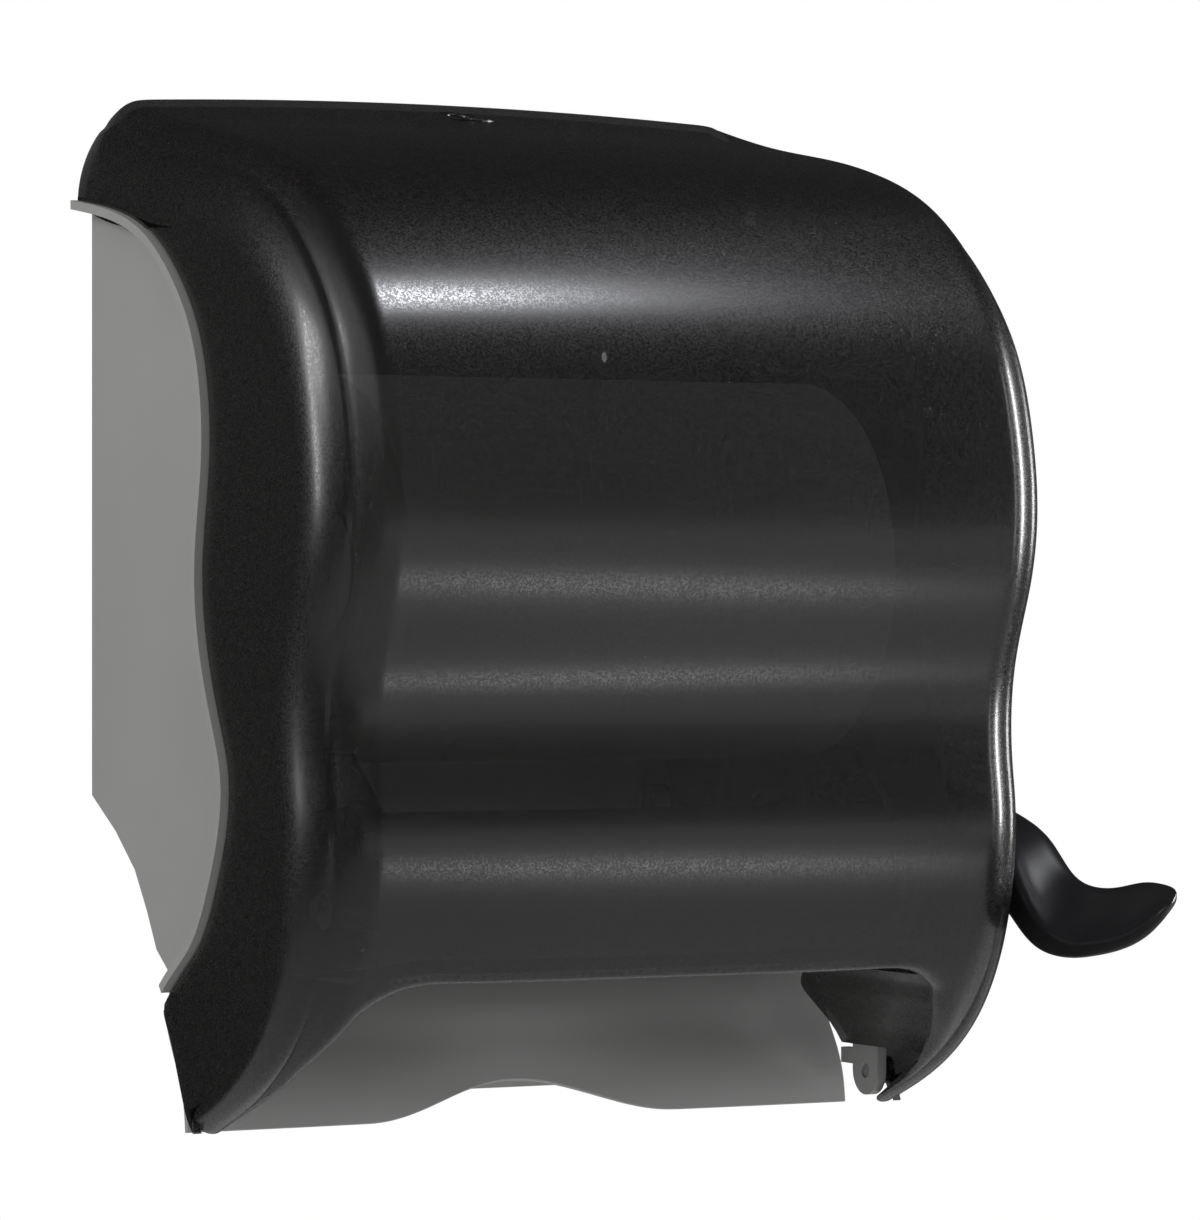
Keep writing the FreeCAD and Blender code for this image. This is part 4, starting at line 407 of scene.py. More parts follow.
def emboss_group():
    """Small round pillows pressed into paper, over a fibre noise."""
    group, start, end = new_group("pressed paper", [("Pillows", 320.0)], ["Height", "Fibre"])
    pillows = group.nodes.new("ShaderNodeTexVoronoi")
    pillows.feature = "SMOOTH_F1"
    group.links.new(object_place(group), pillows.inputs["Vector"])
    group.links.new(start.outputs["Pillows"], pillows.inputs["Scale"])
    pillows.inputs["Randomness"].default_value = 0.35
    fibre = noise_node(group, 2600.0, 3.0)
    height = math_node(group, "SUBTRACT", math_node(group, "MULTIPLY", fibre, 0.25), pillows.outputs["Distance"])
    group.links.new(height, end.inputs["Height"])
    group.links.new(fibre, end.inputs["Fibre"])
    return group


GROUPS = {}


def group_node(tree, name, **values):
    """A shared group in a material, with its own values."""
    makers = {"grain": moulded_grain_group, "pearl": pearl_group, "metal": drawn_metal_group,
              "wound": wound_group, "emboss": emboss_group}
    if name not in GROUPS:
        GROUPS[name] = makers[name]()
    node = tree.nodes.new("ShaderNodeGroup")
    node.node_tree = GROUPS[name]
    for label, value in values.items():
        node.inputs[label].default_value = value
    return node


# ---------------------------------------------------------------- materials

def new_material(name):
    """A node material; returns it with its tree and its shader."""
    material = bpy.data.materials.new(name)
    material.use_nodes = True
    return material, material.node_tree, material.node_tree.nodes["Principled BSDF"]


def tint(colour, factor):
    """The colour times the factor, opaque and at most white."""
    return tuple(min(1.0, channel * factor) for channel in colour[:3]) + (1.0,)


def mix_colours(tree, factor, first, second):
    """One colour where the factor is 0, turning to the other where it is 1."""
    node = tree.nodes.new("ShaderNodeMix")
    node.data_type = "RGBA"
    tree.links.new(factor, node.inputs["Factor"])
    for label, value in (("A", first), ("B", second)):
        feed(tree, [item for item in node.inputs if item.name == label and item.type == "RGBA"][0], value)
    return [item for item in node.outputs if item.type == "RGBA"][0]


def spread(tree, factor, low, high, start=0.3, end=0.7):
    """A number that goes from low to high as the factor goes from start to end."""
    node = tree.nodes.new("ShaderNodeMapRange")
    tree.links.new(factor, node.inputs["Value"])
    for label, value in (("From Min", start), ("From Max", end), ("To Min", low), ("To Max", high)):
        node.inputs[label].default_value = value
    return node.outputs["Result"]


def surface(tree, shader, colour, roughness, height, relief):
    """Links a shader to its colour, its roughness and its height map, with the relief in metres."""
    tree.links.new(colour, shader.inputs["Base Color"])
    tree.links.new(roughness, shader.inputs["Roughness"])
    node = tree.nodes.new("ShaderNodeBump")
    node.inputs["Distance"].default_value = relief
    tree.links.new(height, node.inputs["Height"])
    tree.links.new(node.outputs["Normal"], shader.inputs["Normal"])


def moulded(name, colour, roughness, relief=0.00002, grain=1500.0, change=0.05):
    """Moulded plastic: a fine grain, with gloss and colour that drift a little over the face."""
    material, tree, shader = new_material(name)
    node = group_node(tree, "grain", Grain=grain)
    mottle = node.outputs["Mottle"]
    surface(tree, shader, mix_colours(tree, mottle, tint(colour, 1 - change), tint(colour, 1 + change)),
            spread(tree, mottle, roughness - 0.05, roughness + 0.05), node.outputs["Height"], relief)
    return material


def metal(name, colour, roughness, relief=0.000006):
    """Metal with fine drawn lines."""
    material, tree, shader = new_material(name)
    node = group_node(tree, "metal")
    streak = node.outputs["Streak"]
    shader.inputs["Metallic"].default_value = 1.0
    surface(tree, shader, mix_colours(tree, streak, tint(colour, 0.85), tint(colour, 1.1)),
            spread(tree, streak, roughness - 0.07, roughness + 0.07), node.outputs["Height"], relief)
    return material


def smoke_plastic(finish):
    """Smoke-tinted translucent plastic with pearl flakes under a satin face."""
    material, tree, shader = new_material("smoke_plastic")
    flakes = group_node(tree, "pearl", Cells=finish.flake_cells)
    grain = group_node(tree, "grain", Grain=900.0, Mottle=7.0)
    colour = tuple(finish.smoke)
    base = mix_colours(tree, grain.outputs["Mottle"], tint(colour, 0.9), tint(colour, 1.1))
    flecked = mix_colours(tree, flakes.outputs["Flake"], base, tint(colour, 2.4))
    height, roughness = flakes.outputs["Height"], finish.smoke_roughness
    surface(tree, shader, flecked, spread(tree, height, roughness - 0.09, roughness + 0.09),
            height, finish.flake_tilt * MM)
    shader.inputs["Coat Weight"].default_value = finish.smoke_coat
    shader.inputs["Coat Roughness"].default_value = finish.smoke_coat_roughness
    slant = tree.nodes.new("ShaderNodeLayerWeight")
    slant.inputs["Blend"].default_value = 0.5
    stopped = spread(tree, slant.outputs["Facing"], finish.smoke_alpha, finish.smoke_slant_alpha, 0.1, 0.6)
    tree.links.new(stopped, shader.inputs["Alpha"])
    return material


def paper_material(finish):
    """Soft tissue: pressed pillows and fibres on the face, and plies on the roll's ends."""
    material, tree, shader = new_material("paper")
    face = group_node(tree, "emboss")
    ends = group_node(tree, "wound")
    colour = tuple(finish.paper)
    both = math_node(tree, "ADD", face.outputs["Height"], math_node(tree, "MULTIPLY", ends.outputs["Height"], 0.5))
    surface(tree, shader, mix_colours(tree, ends.outputs["Ply"], tint(colour, 0.9), tint(colour, 1.04)),
            spread(tree, face.outputs["Fibre"], 0.85, 0.97), both, 0.0004)
    return material


def card_material():
    """Grey-brown board with fibres and a wound lay."""
    material, tree, shader = new_material("card")
    node = group_node(tree, "emboss", Pillows=120.0)
    fibre = node.outputs["Fibre"]
    surface(tree, shader, mix_colours(tree, fibre, (0.30, 0.21, 0.13, 1), (0.46, 0.34, 0.22, 1)),
            spread(tree, fibre, 0.75, 0.95), node.outputs["Height"], 0.0001)
    return material


MATERIALS = {}


def material_for(slot):
    """The material of one of the record's slots, made once."""
    if slot not in MATERIALS:
        finish = bpy.context.scene.dispenser_finish
        makers = {
            "cover": lambda: smoke_plastic(finish),
            "chassis": lambda: moulded("light_grey_plastic", tuple(finish.chassis), 0.5, 0.00003, 1100.0, 0.03),
            "frame": lambda: moulded("mid_grey_plastic", tuple(finish.frame), 0.48, 0.00003, 1100.0, 0.05),
            "lever": lambda: moulded("black_plastic", tuple(finish.lever), 0.3, 0.00001, 1800.0, 0.1),
            "white": lambda: moulded("natural_acetal", (0.78, 0.78, 0.75), 0.35, 0.00001, 900.0, 0.03),
            "rubber": lambda: moulded("rubber", (0.02, 0.02, 0.021), 0.75, 0.00006, 700.0, 0.15),
            "steel": lambda: metal("bright_steel", (0.62, 0.62, 0.63), 0.28),
            "zinc": lambda: metal("zinc_plate", (0.68, 0.69, 0.72), 0.33),
            "brass": lambda: metal("brass", (0.72, 0.52, 0.24), 0.3),
            "paper": lambda: paper_material(finish),
            "card": card_material,
        }
        MATERIALS[slot] = makers[slot]()
    return MATERIALS[slot]


# ---------------------------------------------------------------- cover

def cover_columns(half, corner):
    """X of the cover's columns on one side of its middle, closer together at the panel's edge and the round.

    The last of them follow the sine of an even turn, so they crowd towards the end.
    """
    turn = np.radians(np.linspace(46, 90, 15))
    return np.concatenate([
        np.linspace(0, 8, 6), np.linspace(13, 96, 16), np.linspace(98.5, 120, 10), np.linspace(120.9, 143, 27),
        half - corner * (1 - np.sin(turn)),
    ])


def cover_form(size):
    """The cover as a shell.

    Rows follow the side outline and columns run across it. A point is the outline's point, moved inward
    by an elliptic drop towards the ends (b times 1 less the root of 1 less the squared share of the
    corner's width), and outward by the larger of the panel's rise and that drop, blended softly, less a
    narrow groove where the two meet. Beyond the ends' full drop, columns run straight to the rear edge.
    The opening's edge is a quarter turn inward whose radius is read over X, and beside the opening it
    runs on straight to the rear edge as a deep wall.
    """
    side = Curve(COVER_SIDE)
    rim = Curve(RIM_SIDE)
    along_rim = np.linspace(0, rim.total, 60)
    rear_points = np.concatenate([rim.at(along_rim) + size.rear_gap * rim.outward(along_rim), COVER_TAIL])
    rear_points[0, 0] = 0.0
    rear = Curve(rear_points)
    half = size.half_width
    right = cover_columns(half, size.corner)
    x = np.concatenate([-right[:0:-1], right])
    reach = np.abs(x)

    lower = side.lengths > side.nearest((228.6, 35))
    edge = Curve(OPENING_EDGE).points
    foot, foot_height = OPENING_EDGE[-1]
    edge_height = np.where(reach < foot, np.interp(reach, edge[:, 0], edge[:, 1]), foot_height)
    end_length = np.interp(-edge_height, -side.points[lower, 1], side.lengths[lower])
    shared = side.nearest((211.5, -90))
    upper_rows = np.linspace(0, 1, 150)
    lower_rows = np.linspace(0, 1, 46)[1:]
    length = np.concatenate([
        np.repeat((upper_rows * shared)[:, None], len(x), axis=1),
        shared + lower_rows[:, None] * (end_length - shared),
    ])

    place = side.at(length)
    out = side.outward(length)
    depth, height = place[..., 0], place[..., 1]
    roof = 1 - smoothstep(*ROOF_DEPTHS, depth)
    toe = smoothstep(*TOE_DROPS, -height)
    width = size.corner + 3 * roof - (size.corner - size.toe_corner) * toe
    fall = size.corner + 11 * roof - (size.corner - size.toe_corner) * toe
    share = np.clip((reach - (half - width)) / width, 0, 1)
    drop = fall * (1 - np.sqrt(np.maximum(0, 1 - share ** 2)))
    inward = -out * np.stack([smoothstep(0, 90, depth), np.ones_like(depth)], -1)
    inward /= np.linalg.norm(inward, axis=-1)[..., None]

    rise = size.roof_rise + (size.panel_rise - size.roof_rise) * np.clip(depth / 225, 0, 1)
    band = np.clip((reach - (size.panel_half - size.panel_round)) / size.panel_round, 0, 2)
    edge_share = np.clip((size.panel_half - (half - width)) / width, 0, 1)
    edge_drop = fall * (1 - np.sqrt(1 - edge_share ** 2))
    panel = rise - (rise + edge_drop + 2) * band ** 2.3
    soft = 1.1
    blended = soft * np.logaddexp(panel / soft, -drop / soft)
    groove = size.groove * np.exp(-((reach - size.panel_half - 0.3) / 1.4) ** 2)
    crown = size.crown * (reach / half) ** 2 * (1 - smoothstep(120, 215, depth)) * (height > 0)
    lift = blended + drop - groove - crown
    point = place + drop[..., None] * inward + lift[..., None] * out
    front = to_row(np.broadcast_to(x, depth.shape), point[..., 0], point[..., 1])

    pairs = np.array([(side.nearest(a), rear.nearest(b)) for a, b in COVER_PAIRS])
    behind = rear.at(np.interp(length[:, 0], pairs[:, 0], pairs[:, 1]))
    behind_row = to_row(0, behind[:, 0], behind[:, 1])
    blend = np.linspace(0, 1, SIDE_COLUMNS + 1)[1:, None]
    left_face = front[:, :1] * (1 - blend[::-1]) + (behind_row[:, None] + (-half, 0, 0)) * blend[::-1]
    right_face = front[:, -1:] * (1 - blend) + (behind_row[:, None] + (half, 0, 0)) * blend
    outer = np.concatenate([left_face, front, right_face], axis=1)
    outer[..., 1] = np.minimum(outer[..., 1], -WALL_CLEARANCE)
    normal = grid_normals(outer)
    middle = outer.shape[1] // 2
    if normal[80, middle, 1] > 0:
        normal = -normal
    normal[:, :SIDE_COLUMNS] = (-1, 0, 0)
    normal[:, -SIDE_COLUMNS:] = (1, 0, 0)

    ends = np.full(SIDE_COLUMNS, half)
    columns = np.concatenate([ends, reach, ends])
    lip = 1 - smoothstep(119, foot - 1, columns)
    turn_radius = np.interp(columns, *np.array(LIP_ROUND, float).T)
    run = 0.6 + np.maximum(size.lip_depth - turn_radius - 0.6, 0) * lip
    edge_point, edge_normal = outer[-1], normal[-1]
    along = np.gradient(edge_point, axis=0)
    toward = np.cross(along, edge_normal)
    toward /= np.linalg.norm(toward, axis=1)[:, None]
    outer_rows, inner_rows = [outer], [outer - size.wall * normal]
    for turn in np.radians(np.linspace(0, 90, 7)[1:]):
        outer_rows.append((edge_point + turn_radius[:, None] * (math.sin(turn) * toward
                           - (1 - math.cos(turn)) * edge_normal))[None])
    start = edge_point + turn_radius[:, None] * (toward - edge_normal)
    for part in (0.5, 1.0):
        outer_rows.append((start - part * run[:, None] * edge_normal)[None])
    extra = np.maximum(turn_radius + run - size.wall, 0.5)
    for part in np.linspace(0, 1, 9)[1:]:
        inner_rows.append((edge_point - (size.wall + part * extra)[:, None] * edge_normal)[None])
    outer = np.concatenate(outer_rows)
    inner = np.concatenate(inner_rows)
    inner[..., 1] = np.minimum(inner[..., 1], -WALL_CLEARANCE)

    forms = [closed_shell(outer, inner)]
    beside = (edge_point[:, 2] < size.side_wall_top) & (edge_point[:, 2] > size.side_wall_foot)
    for side_mark in (-1, 1):
        pick = np.flatnonzero(beside & (np.sign(edge_point[:, 0]) == side_mark))
        near = start[pick]
        rear_depth = np.interp(-near[:, 2], -rear.points[:, 1], rear.points[:, 0])
        far = to_row(near[:, 0], rear_depth, near[:, 2])
        away = toward[pick] * (1, 0, 1)
        away /= np.linalg.norm(away, axis=1)[:, None]
        part = np.linspace(0, 1, 12)[None, :, None]
        face = near[:, None] * (1 - part) + far[:, None] * part
        forms.append(closed_shell(face, face - size.wall * away[:, None]))
    return joined(*forms)


def without_hole(form, radius):
    """The cover without the faces round its keyhole in the roof."""
    points, faces = form
    middle = points[faces].mean(axis=1)
    near = np.hypot(middle[:, 0], middle[:, 1] + LOCK_DEPTH) < radius
    return points, faces[~(near & (middle[:, 2] > 150))]


class DispenserCoverSize(PropertyGroup):
    half_width: FloatProperty(name="Half width", description="Cover's outer half width, mm", default=151.0)
    wall: FloatProperty(name="Wall", description="Shell thickness, mm", default=3.0)
    corner: FloatProperty(name="Corner", description="Round of the ends, mm", default=28.0)
    toe_corner: FloatProperty(name="Toe corner", description="Round of the ends at the toes, mm", default=7.0)
    panel_half: FloatProperty(name="Panel half width", description="Groove beside the panel, mm", default=139.5)
    panel_rise: FloatProperty(name="Panel rise", description="Rise of the panel at the front, mm", default=4.0)
    roof_rise: FloatProperty(name="Roof rise", description="Rise of the panel at the wall, mm", default=0.5)
    panel_round: FloatProperty(name="Panel round", description="Width of the panel's soft edge, mm", default=15.0)
    groove: FloatProperty(name="Groove", description="Depth of the groove beside the panel, mm", default=0.8)
    crown: FloatProperty(name="Crown", description="Fall of the roof towards its ends, mm", default=5.0)
    rear_gap: FloatProperty(name="Rear gap", description="Gap to the chassis rim, mm", default=1.2)
    side_wall_top: FloatProperty(name="Side wall top", description="Of the deep walls, mm", default=-136.0)
    side_wall_foot: FloatProperty(name="Side wall foot", description="Of the deep walls, mm", default=-170.5)
    lip_depth: FloatProperty(name="Lip depth", description="Inward return of the opening's edge, mm", default=11.0)
    roof_slope: FloatProperty(name="Roof slope", description="Fall to the depth at the keyhole", default=0.245)
    keyhole: FloatProperty(name="Keyhole", description="Radius of the keyhole in the roof, mm", default=4.5)


class DISPENSER_OT_cover(Operator):
    """Build the smoke cover with its bosses"""
    bl_idname = "dispenser.cover"
    bl_label = "Cover"

    def execute(self, context):
        size = context.scene.dispenser_cover
        shell = without_hole(cover_form(size), size.keyhole + 1.7)
        lock = (0, LOCK_DEPTH, 0)
        collar = turned(rounded_outline(187.0, 193.9, size.keyhole, size.keyhole + 3.9, 0.4), 2, lock)
        collar[0][:, 2] += size.roof_slope * (collar[0][:, 1] + LOCK_DEPTH)
        boss = turned(rounded_outline(*LOCK_BOSS), 2, lock)
        near, far, *section = HINGE_BOSS
        hinge_bosses = [
            turned(rounded_outline(*sorted((side * near, side * far)), *section), 0, (0,) + HINGE)
            for side in (-1, 1)
        ]
        make_piece("cover_shell", joined(shell, collar, boss, *hinge_bosses), "cover", "cover", ["cover"])
        return {"FINISHED"}


# ---------------------------------------------------------------- chute

class DispenserChuteSize(PropertyGroup):
    half_width: FloatProperty(name="Half width", description="Chute's half width, mm", default=141.6)
    wall: FloatProperty(name="Wall", description="Thickness, mm", default=2.5)
    notch_width: FloatProperty(name="Notch half width", description="Finger notch, mm", default=66.0)
    notch_height: FloatProperty(name="Notch height", description="Finger notch, mm", default=13.5)
    dish: FloatProperty(name="Dish", description="How far the notch is dished back, mm", default=9.0)


def chute_form(size):
    """The chute's apron: rows follow its side outline down to a lower edge that rises in a cosine over the notch.

    Near each end the rows start lower, by a smooth step over X, which trims the upper corners. The middle
    is pushed back by a bell shape that grows towards the lower edge. The web and the flange are straight
    strips drawn along X.
    """
    side = Curve(CHUTE_SIDE)
    x = np.linspace(-size.half_width, size.half_width, 121)
    bell = np.where(np.abs(x) < size.notch_width, 0.5 + 0.5 * np.cos(np.pi * x / size.notch_width), 0.0)
    low = CHUTE_SIDE[-1][1] + size.notch_height * bell
    end_length = np.interp(-low, -side.points[:, 1], side.lengths)
    start_length = side.nearest((62.5, -149)) * smoothstep(size.half_width - 6, size.half_width - 1, np.abs(x))
    length = start_length + np.linspace(0, 1, 40)[:, None] * (end_length - start_length)
    place = side.at(length)
    out = side.outward(length)
    push = size.dish * np.exp(-(x / 46) ** 2) * smoothstep(150, 184, -place[..., 1])
    outer = to_row(np.broadcast_to(x, push.shape), place[..., 0] - push, place[..., 1])
    inner = to_row(np.broadcast_to(x, push.shape), place[..., 0] - push - size.wall * out[..., 0],
                   place[..., 1] - size.wall * out[..., 1])
    apron = closed_shell(outer, inner)
    strips = [drawn_across(outline, -WEB_HALF, WEB_HALF) for outline in (CHUTE_WEB, CHUTE_FLANGE)]
    return joined(apron, *strips)


class DISPENSER_OT_chute(Operator):
    """Build the towel chute under the opening"""
    bl_idname = "dispenser.chute"
    bl_label = "Towel chute"

    def execute(self, context):
        form = chute_form(context.scene.dispenser_chute)
        piece = make_piece("chute_apron", form, "frame", "chassis", ["towel_chute"])
        edge = piece.modifiers.new("edge", "BEVEL")
        edge.width = 0.6 * MM
        edge.segments = 2
        edge.limit_method = "ANGLE"
        edge.angle_limit = math.radians(50)
        return {"FINISHED"}


# ---------------------------------------------------------------- lever

def lever_form():
    """The lever's arm and paddle, hub and neck.

    Each section is a rounded four-sided loop: the share across is a power of the cosine and the share
    up a power of the sine. The upper edge rises with the share across, to a power that grows from 1 at
    the arm to 1.6 at the paddle, which leaves the paddle hollow. The stations are joined by natural
    cubics over their distance.
    """
    centre = LEVER_STATIONS[:, [0, 1, 3]].copy()
    chord = np.concatenate([[0], np.cumsum(np.linalg.norm(np.diff(centre, axis=0), axis=1))])
    at = np.linspace(0, chord[-1], 110)
    fields = natural_cubic(chord, LEVER_STATIONS, at)
    depth, low_near, low_far, top_near, top_far, near, far = (fields[:, k:k + 1] for k in range(7))
    turn = np.linspace(0, 2 * np.pi, 56, endpoint=False)[None, :]
    power = 2 / 3.4
    across = 0.5 + 0.5 * np.sign(np.cos(turn)) * np.abs(np.cos(turn)) ** power
    up = 0.5 + 0.5 * np.sign(np.sin(turn)) * np.abs(np.sin(turn)) ** power
    hollow = 1 + 0.6 * smoothstep(140, 200, depth)
    low = low_near + (low_far - low_near) * across
    top = top_near + (top_far - top_near) * across ** hollow
    closing = np.sqrt(np.clip((chord[-1] - at) / 2.5, 0, 1))[:, None] * 0.999 + 0.001
    middle_x, middle_z = (near + far) / 2, (low_near + low_far + top_near + top_far) / 4
    x = near + (far - near) * across
    z = low + (top - low) * up
    x = middle_x + (x - middle_x) * closing
    z = middle_z + (z - middle_z) * closing
    grid = to_row(x, np.broadcast_to(depth, x.shape), z)
    middle = grid[:1].mean(axis=1, keepdims=True)
    grid = np.concatenate([middle + (grid[:1] - middle) * 0.001, grid])
    points = grid.reshape(-1, 3)
    arm = points, outward_faces(points, grid_faces(*grid.shape[:2], wrap=(0, 1)))
    rings = [turned(rounded_outline(*ring), 0, (0,) + LEVER_PIVOT) for ring in (LEVER_HUB, LEVER_NECK)]
    return joined(arm, *rings)


class DISPENSER_OT_lever(Operator):
    """Build the push lever"""
    bl_idname = "dispenser.lever"
    bl_label = "Lever"

    def execute(self, context):
        make_piece("lever_paddle", lever_form(), "lever", "lever", ["lever"], 60.0)
        return {"FINISHED"}


# ---------------------------------------------------------------- roll

class DispenserRollSize(PropertyGroup):
    radius: FloatProperty(name="Radius", description="Part used roll, mm", default=72.0)
    bore: FloatProperty(name="Bore", description="Radius over the core, mm", default=20.6)
    half_width: FloatProperty(name="Half width", description="Half the roll's width, mm", default=101.5)
    ply: FloatProperty(name="Ply", description="Step at the towel's free edge, mm", default=0.5)


def roll_form(size):
    """The wound towel: a ring's outline carried round the axis, its radius less a ply's step over one turn.

    The ends are uneven by a few tenths, as a sum of two waves over the radius.
    """
    radii = np.linspace(size.bore, size.radius - 1.2, 26)
    wave = 0.25 * np.sin(radii * 1.9) + 0.2 * np.sin(radii * 0.7 + 1.0)
    end = np.stack([size.half_width - 0.5 + wave, radii], -1)
    corner = np.array([(size.half_width - 0.4, size.radius - 0.5), (size.half_width - 1.2, size.radius)])
    right = np.concatenate([end, corner])
    left = right[::-1] * (-1, 1)
    form = turned(np.concatenate([right, left]), 0, (0,) + ROLL_AXIS, 160)
    points = form[0]
    depth, height = -points[:, 1] - ROLL_AXIS[0], points[:, 2] - ROLL_AXIS[1]
    radius = np.hypot(depth, height)
    angle = (np.arctan2(height, depth) + np.pi / 2) % (2 * np.pi)
    share = (radius - size.bore) / (size.radius - size.bore)
    scale = 1 - size.ply * angle / (2 * np.pi) * share / np.maximum(radius, 1)
    points[:, 1] = -(ROLL_AXIS[0] + depth * scale)
    points[:, 2] = ROLL_AXIS[1] + height * scale
    return form


class DISPENSER_OT_roll(Operator):
    """Build the towel roll"""
    bl_idname = "dispenser.roll"
    bl_label = "Towel roll"

    def execute(self, context):
        make_piece("wound_towel", roll_form(context.scene.dispenser_roll), "towel_roll", "paper", ["towel_roll"])
        return {"FINISHED"}


# ---------------------------------------------------------------- CAD pieces

REPLACED = ("cover", "towel_chute", "lever", "towel_roll")


class DISPENSER_OT_mechanism(Operator):
    """Give the frame and mechanism their finishes"""
    bl_idname = "dispenser.mechanism"
    bl_label = "Frame and mechanism"

    def execute(self, context):
        slots = {row["node"]: row["material_slot"] for row in frame["record"]["subparts"]}
        for name, piece in frame["nodes"].items():
            if name in REPLACED:
                continue
            piece.data.materials.clear()
            piece.data.materials.append(material_for(slots[name]))
        return {"FINISHED"}


# ---------------------------------------------------------------- stage

class DispenserFinish(PropertyGroup):
    smoke: FloatVectorProperty(
        name="Smoke", description="Cover colour", subtype="COLOR", default=(0.009, 0.008, 0.0076))
    smoke_roughness: FloatProperty(name="Smoke roughness", description="Under the coat", default=0.31)
    smoke_coat: FloatProperty(name="Smoke coat", description="Weight of the satin coat", default=0.4)
    smoke_coat_roughness: FloatProperty(name="Smoke coat roughness", description="Of the coat", default=0.27)
    smoke_alpha: FloatProperty(name="Smoke alpha", description="Share of light each face stops", default=0.62)
    smoke_slant_alpha: FloatProperty(name="Smoke slant", description="That share along a slant", default=0.97)
    flake_cells: FloatProperty(name="Flake cells", description="Pearl flakes to the metre", default=1900.0)
    flake_tilt: FloatProperty(name="Flake tilt", description="Relief of the flakes, mm", default=0.025)
    chassis: FloatVectorProperty(
        name="Chassis", description="Chassis colour", subtype="COLOR", default=(0.355, 0.36, 0.35))
    frame: FloatVectorProperty(
        name="Frame", description="Inner frame colour", subtype="COLOR", default=(0.2, 0.205, 0.205))
    lever: FloatVectorProperty(
        name="Lever", description="Lever colour", subtype="COLOR", default=(0.018, 0.018, 0.02))
    paper: FloatVectorProperty(
        name="Paper", description="Towel colour", subtype="COLOR", default=(0.82, 0.81, 0.78))


class DispenserStage(PropertyGroup):
    camera_lens: FloatProperty(name="Lens", description="Focal length, mm", default=164.74)
    floor_height: FloatProperty(name="Floor", description="Height of the floor", default=-0.75, unit="LENGTH")
    world_strength: FloatProperty(name="World", description="Strength of the even light", default=0.5)
    key_power: FloatProperty(name="Key", description="Overhead softbox, W", default=4.4)
    side_power: FloatProperty(name="Side", description="Left softbox, W", default=5.6)
    low_power: FloatProperty(name="Low", description="Softbox in front near the floor, W", default=0.75)
    strip_left: FloatProperty(name="Left strip", description="Upright strip seen in the gloss, W", default=10.0)
    strip_right: FloatProperty(name="Right strip", description="Upright strip seen in the gloss, W", default=24.0)
    white: FloatProperty(name="White", description="Strength of the background", default=1.0)


def seen_directly(tree):
    """1 where a ray comes from the camera, a reflection or a see-through face."""
    path = tree.nodes.new("ShaderNodeLightPath")
    first = math_node(tree, "MAXIMUM", path.outputs["Is Camera Ray"], path.outputs["Is Glossy Ray"])
    return math_node(tree, "MAXIMUM", first, path.outputs["Is Transmission Ray"])


def softbox(name, place, aim, width, height, power):
    """A rectangular lamp at a place, in metres, that faces a point."""
    lamp = bpy.data.lights.new(name, "AREA")
    lamp.shape = "RECTANGLE"
    lamp.size, lamp.size_y = width, height
    lamp.energy = power
    thing = linked(name, lamp)
    thing.location = place
    thing.rotation_euler = (Vector(aim) - Vector(place)).to_track_quat("-Z", "Y").to_euler()
    return thing


def stage_panel(name, corners, material):
    """A flat four-sided stage surface from its corners, in metres."""
    mesh = bpy.data.meshes.new(name)
    mesh.from_pydata(corners, [], [(0, 1, 2, 3)])
    mesh.materials.append(material)
    panel = linked(name, mesh)
    return panel


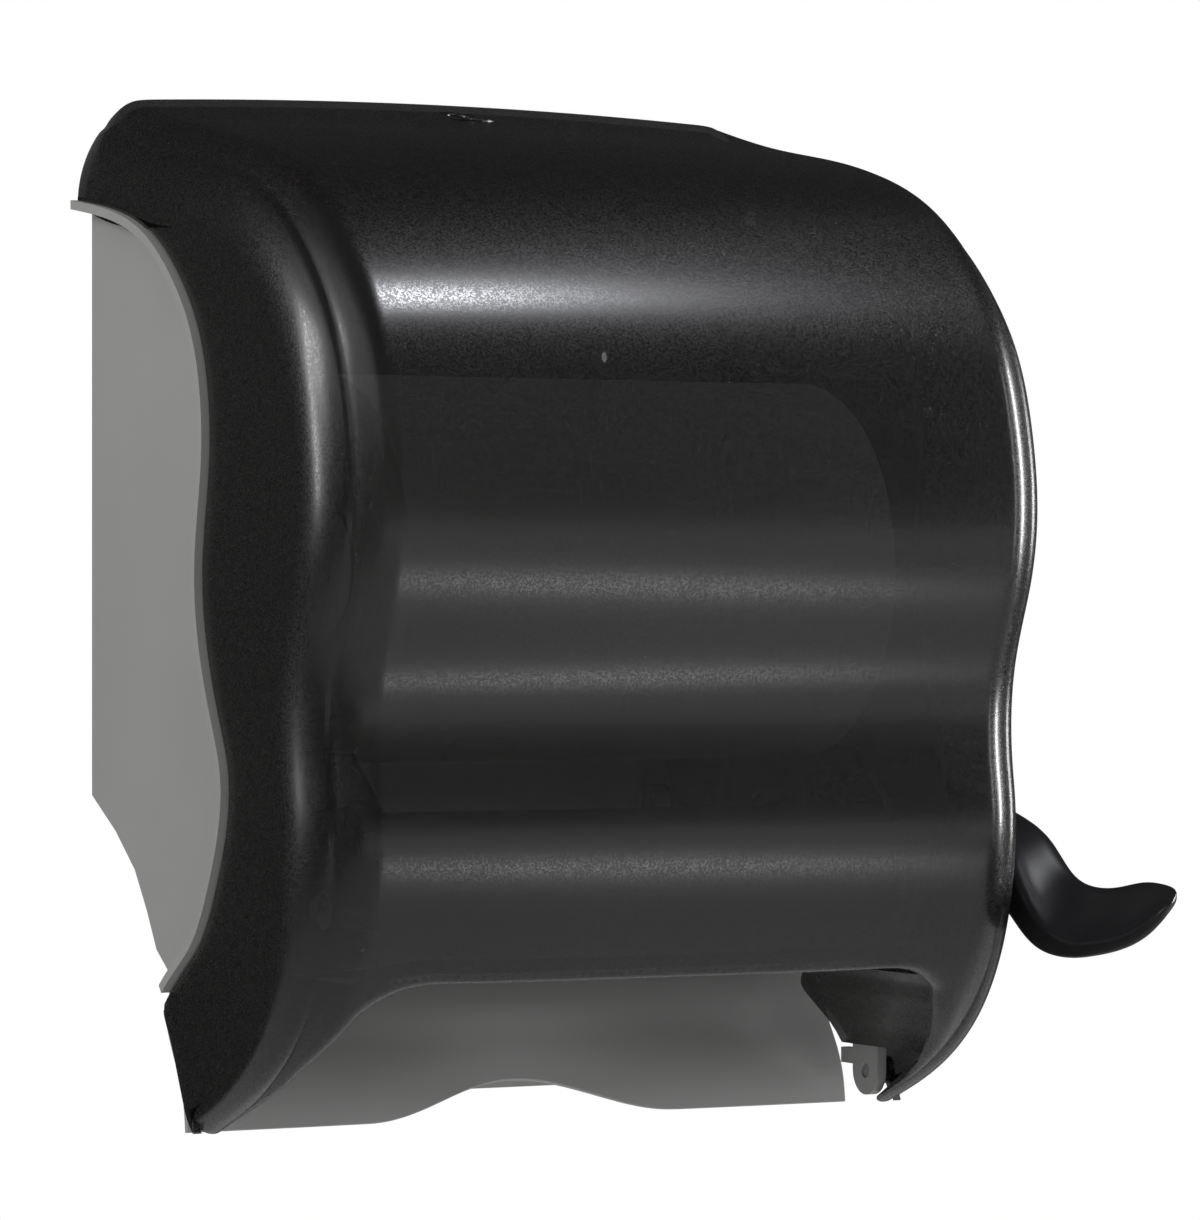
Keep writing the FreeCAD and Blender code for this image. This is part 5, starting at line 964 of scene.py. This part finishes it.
class DISPENSER_OT_stage(Operator):
    """Set the camera, the lights, the floor and the plain background"""
    bl_idname = "dispenser.stage"
    bl_label = "Stage"

    def execute(self, context):
        stage = context.scene.dispenser_stage
        scene = context.scene
        scene.view_settings.view_transform = "Standard"

        camera_data = bpy.data.cameras.new("camera")
        camera_data.lens = stage.camera_lens
        camera_data.sensor_width = 36.0
        camera = linked("camera", camera_data)
        camera.location = CAMERA_PLACE
        camera.rotation_euler = (Vector(CAMERA_AIM) - Vector(CAMERA_PLACE)).to_track_quat("-Z", "Y").to_euler()
        scene.camera = camera

        world = bpy.data.worlds.new("studio")
        world.use_nodes = True
        scene.world = world
        tree = world.node_tree
        even = tree.nodes["Background"]
        white = tree.nodes.new("ShaderNodeBackground")
        mix = tree.nodes.new("ShaderNodeMixShader")
        tree.links.new(seen_directly(tree), mix.inputs["Fac"])
        for slot, light, strength in ((1, even, stage.world_strength), (2, white, stage.white)):
            light.inputs["Color"].default_value = (1.0, 1.0, 1.0, 1.0)
            light.inputs["Strength"].default_value = strength
            tree.links.new(light.outputs[0], mix.inputs[slot])
        tree.links.new(mix.outputs[0], tree.nodes["World Output"].inputs["Surface"])

        material, tree, shader = new_material("pale_floor")
        node = group_node(tree, "grain", Grain=40.0, Mottle=2.0)
        tree.links.new(mix_colours(tree, node.outputs["Mottle"], (0.8, 0.8, 0.8, 1), (0.84, 0.84, 0.84, 1)),
                       shader.inputs["Base Color"])
        shader.inputs["Roughness"].default_value = 0.9
        level = stage.floor_height
        stage_panel("floor", [(-3, -3, level), (3, -3, level), (3, 3, level), (-3, 3, level)], material)

        dark, tree, shader = new_material("dark_screen")
        shader.inputs["Base Color"].default_value = (0.01, 0.01, 0.01, 1)
        shader.inputs["Roughness"].default_value = 1.0
        screens = {
            "screen_behind": [(-2.4, 0.7, -0.7), (2.4, 0.7, -0.7), (2.4, 0.7, 3.2), (-2.4, 0.7, 3.2)],
            "screen_over": [(-2.4, 0.7, 3.2), (2.4, 0.7, 3.2), (3.2, -2.6, 2.3), (-2.4, -2.6, 2.3)],
            "screen_right": [(2.4, -2.6, -0.7), (2.4, 0.7, -0.7), (2.4, 0.7, 3.2), (2.4, -2.6, 2.3)],
            "screen_before": [(-2.4, -2.6, -0.3), (3.2, -2.6, -0.3), (3.2, -2.6, 2.3), (-2.4, -2.6, 2.3)],
            "screen_left": [(-2.4, -2.6, -0.7), (-2.4, 0.7, -0.7), (-2.4, 0.7, 1.0), (-2.4, -2.6, 1.0)],
        }
        for name, corners in screens.items():
            screen = stage_panel(name, corners, dark)
            for ray in ("camera", "diffuse", "shadow", "transmission"):
                setattr(screen, "visible_" + ray, False)

        key = softbox("key", (0.40, -0.57, 1.14), (0.0, -0.15, 0.05), 0.12, 0.10, stage.key_power)
        key.data.color = (0.94, 0.95, 1.0)
        softbox("side", (-1.5, -0.1, 0.7), (-0.1, -0.15, 0.0), 0.35, 0.5, stage.side_power)
        softbox("low", (0.46, -1.05, -0.5), (0.0, -0.2, 0.0), 0.32, 0.10, stage.low_power)
        for name, place in (("strip_left", (-1.55, 0.25, 0.5)), ("strip_right", (1.6, -0.4, 0.25))):
            strip = softbox(name, place, (0.0, -0.15, 0.0), 0.12, 0.9, getattr(stage, name))
            strip.visible_diffuse = False
        return {"FINISHED"}


# ---------------------------------------------------------------- panel and registration

class DISPENSER_PT_panel(Panel):
    """Lists the dispenser's pieces"""
    bl_label = "Dispenser"
    bl_idname = "DISPENSER_PT_panel"
    bl_space_type = "VIEW_3D"
    bl_region_type = "UI"
    bl_category = "Dispenser"

    def draw(self, context):
        for operator in OPERATORS:
            self.layout.operator(operator.bl_idname)
        for name in GROUPED:
            group = getattr(context.scene, name)
            box = self.layout.box()
            for item in group.bl_rna.properties:
                if item.identifier not in ("rna_type", "name"):
                    box.prop(group, item.identifier)


GROUPED = {
    "dispenser_cover": DispenserCoverSize,
    "dispenser_chute": DispenserChuteSize,
    "dispenser_roll": DispenserRollSize,
    "dispenser_finish": DispenserFinish,
    "dispenser_stage": DispenserStage,
}
OPERATORS = (DISPENSER_OT_cover, DISPENSER_OT_chute, DISPENSER_OT_lever, DISPENSER_OT_roll,
             DISPENSER_OT_mechanism, DISPENSER_OT_stage)


def register():
    for group in GROUPED.values():
        bpy.utils.register_class(group)
    for name, group in GROUPED.items():
        setattr(bpy.types.Scene, name, PointerProperty(type=group))
    for operator in OPERATORS:
        bpy.utils.register_class(operator)
    bpy.utils.register_class(DISPENSER_PT_panel)


def unregister():
    bpy.utils.unregister_class(DISPENSER_PT_panel)
    for operator in reversed(OPERATORS):
        bpy.utils.unregister_class(operator)
    for name, group in reversed(GROUPED.items()):
        delattr(bpy.types.Scene, name)
        bpy.utils.unregister_class(group)


def main():
    register()
    bpy.ops.dispenser.cover()
    bpy.ops.dispenser.chute()
    bpy.ops.dispenser.lever()
    bpy.ops.dispenser.roll()
    bpy.ops.dispenser.mechanism()
    bpy.ops.dispenser.stage()


if __name__ == "__main__":
    main()
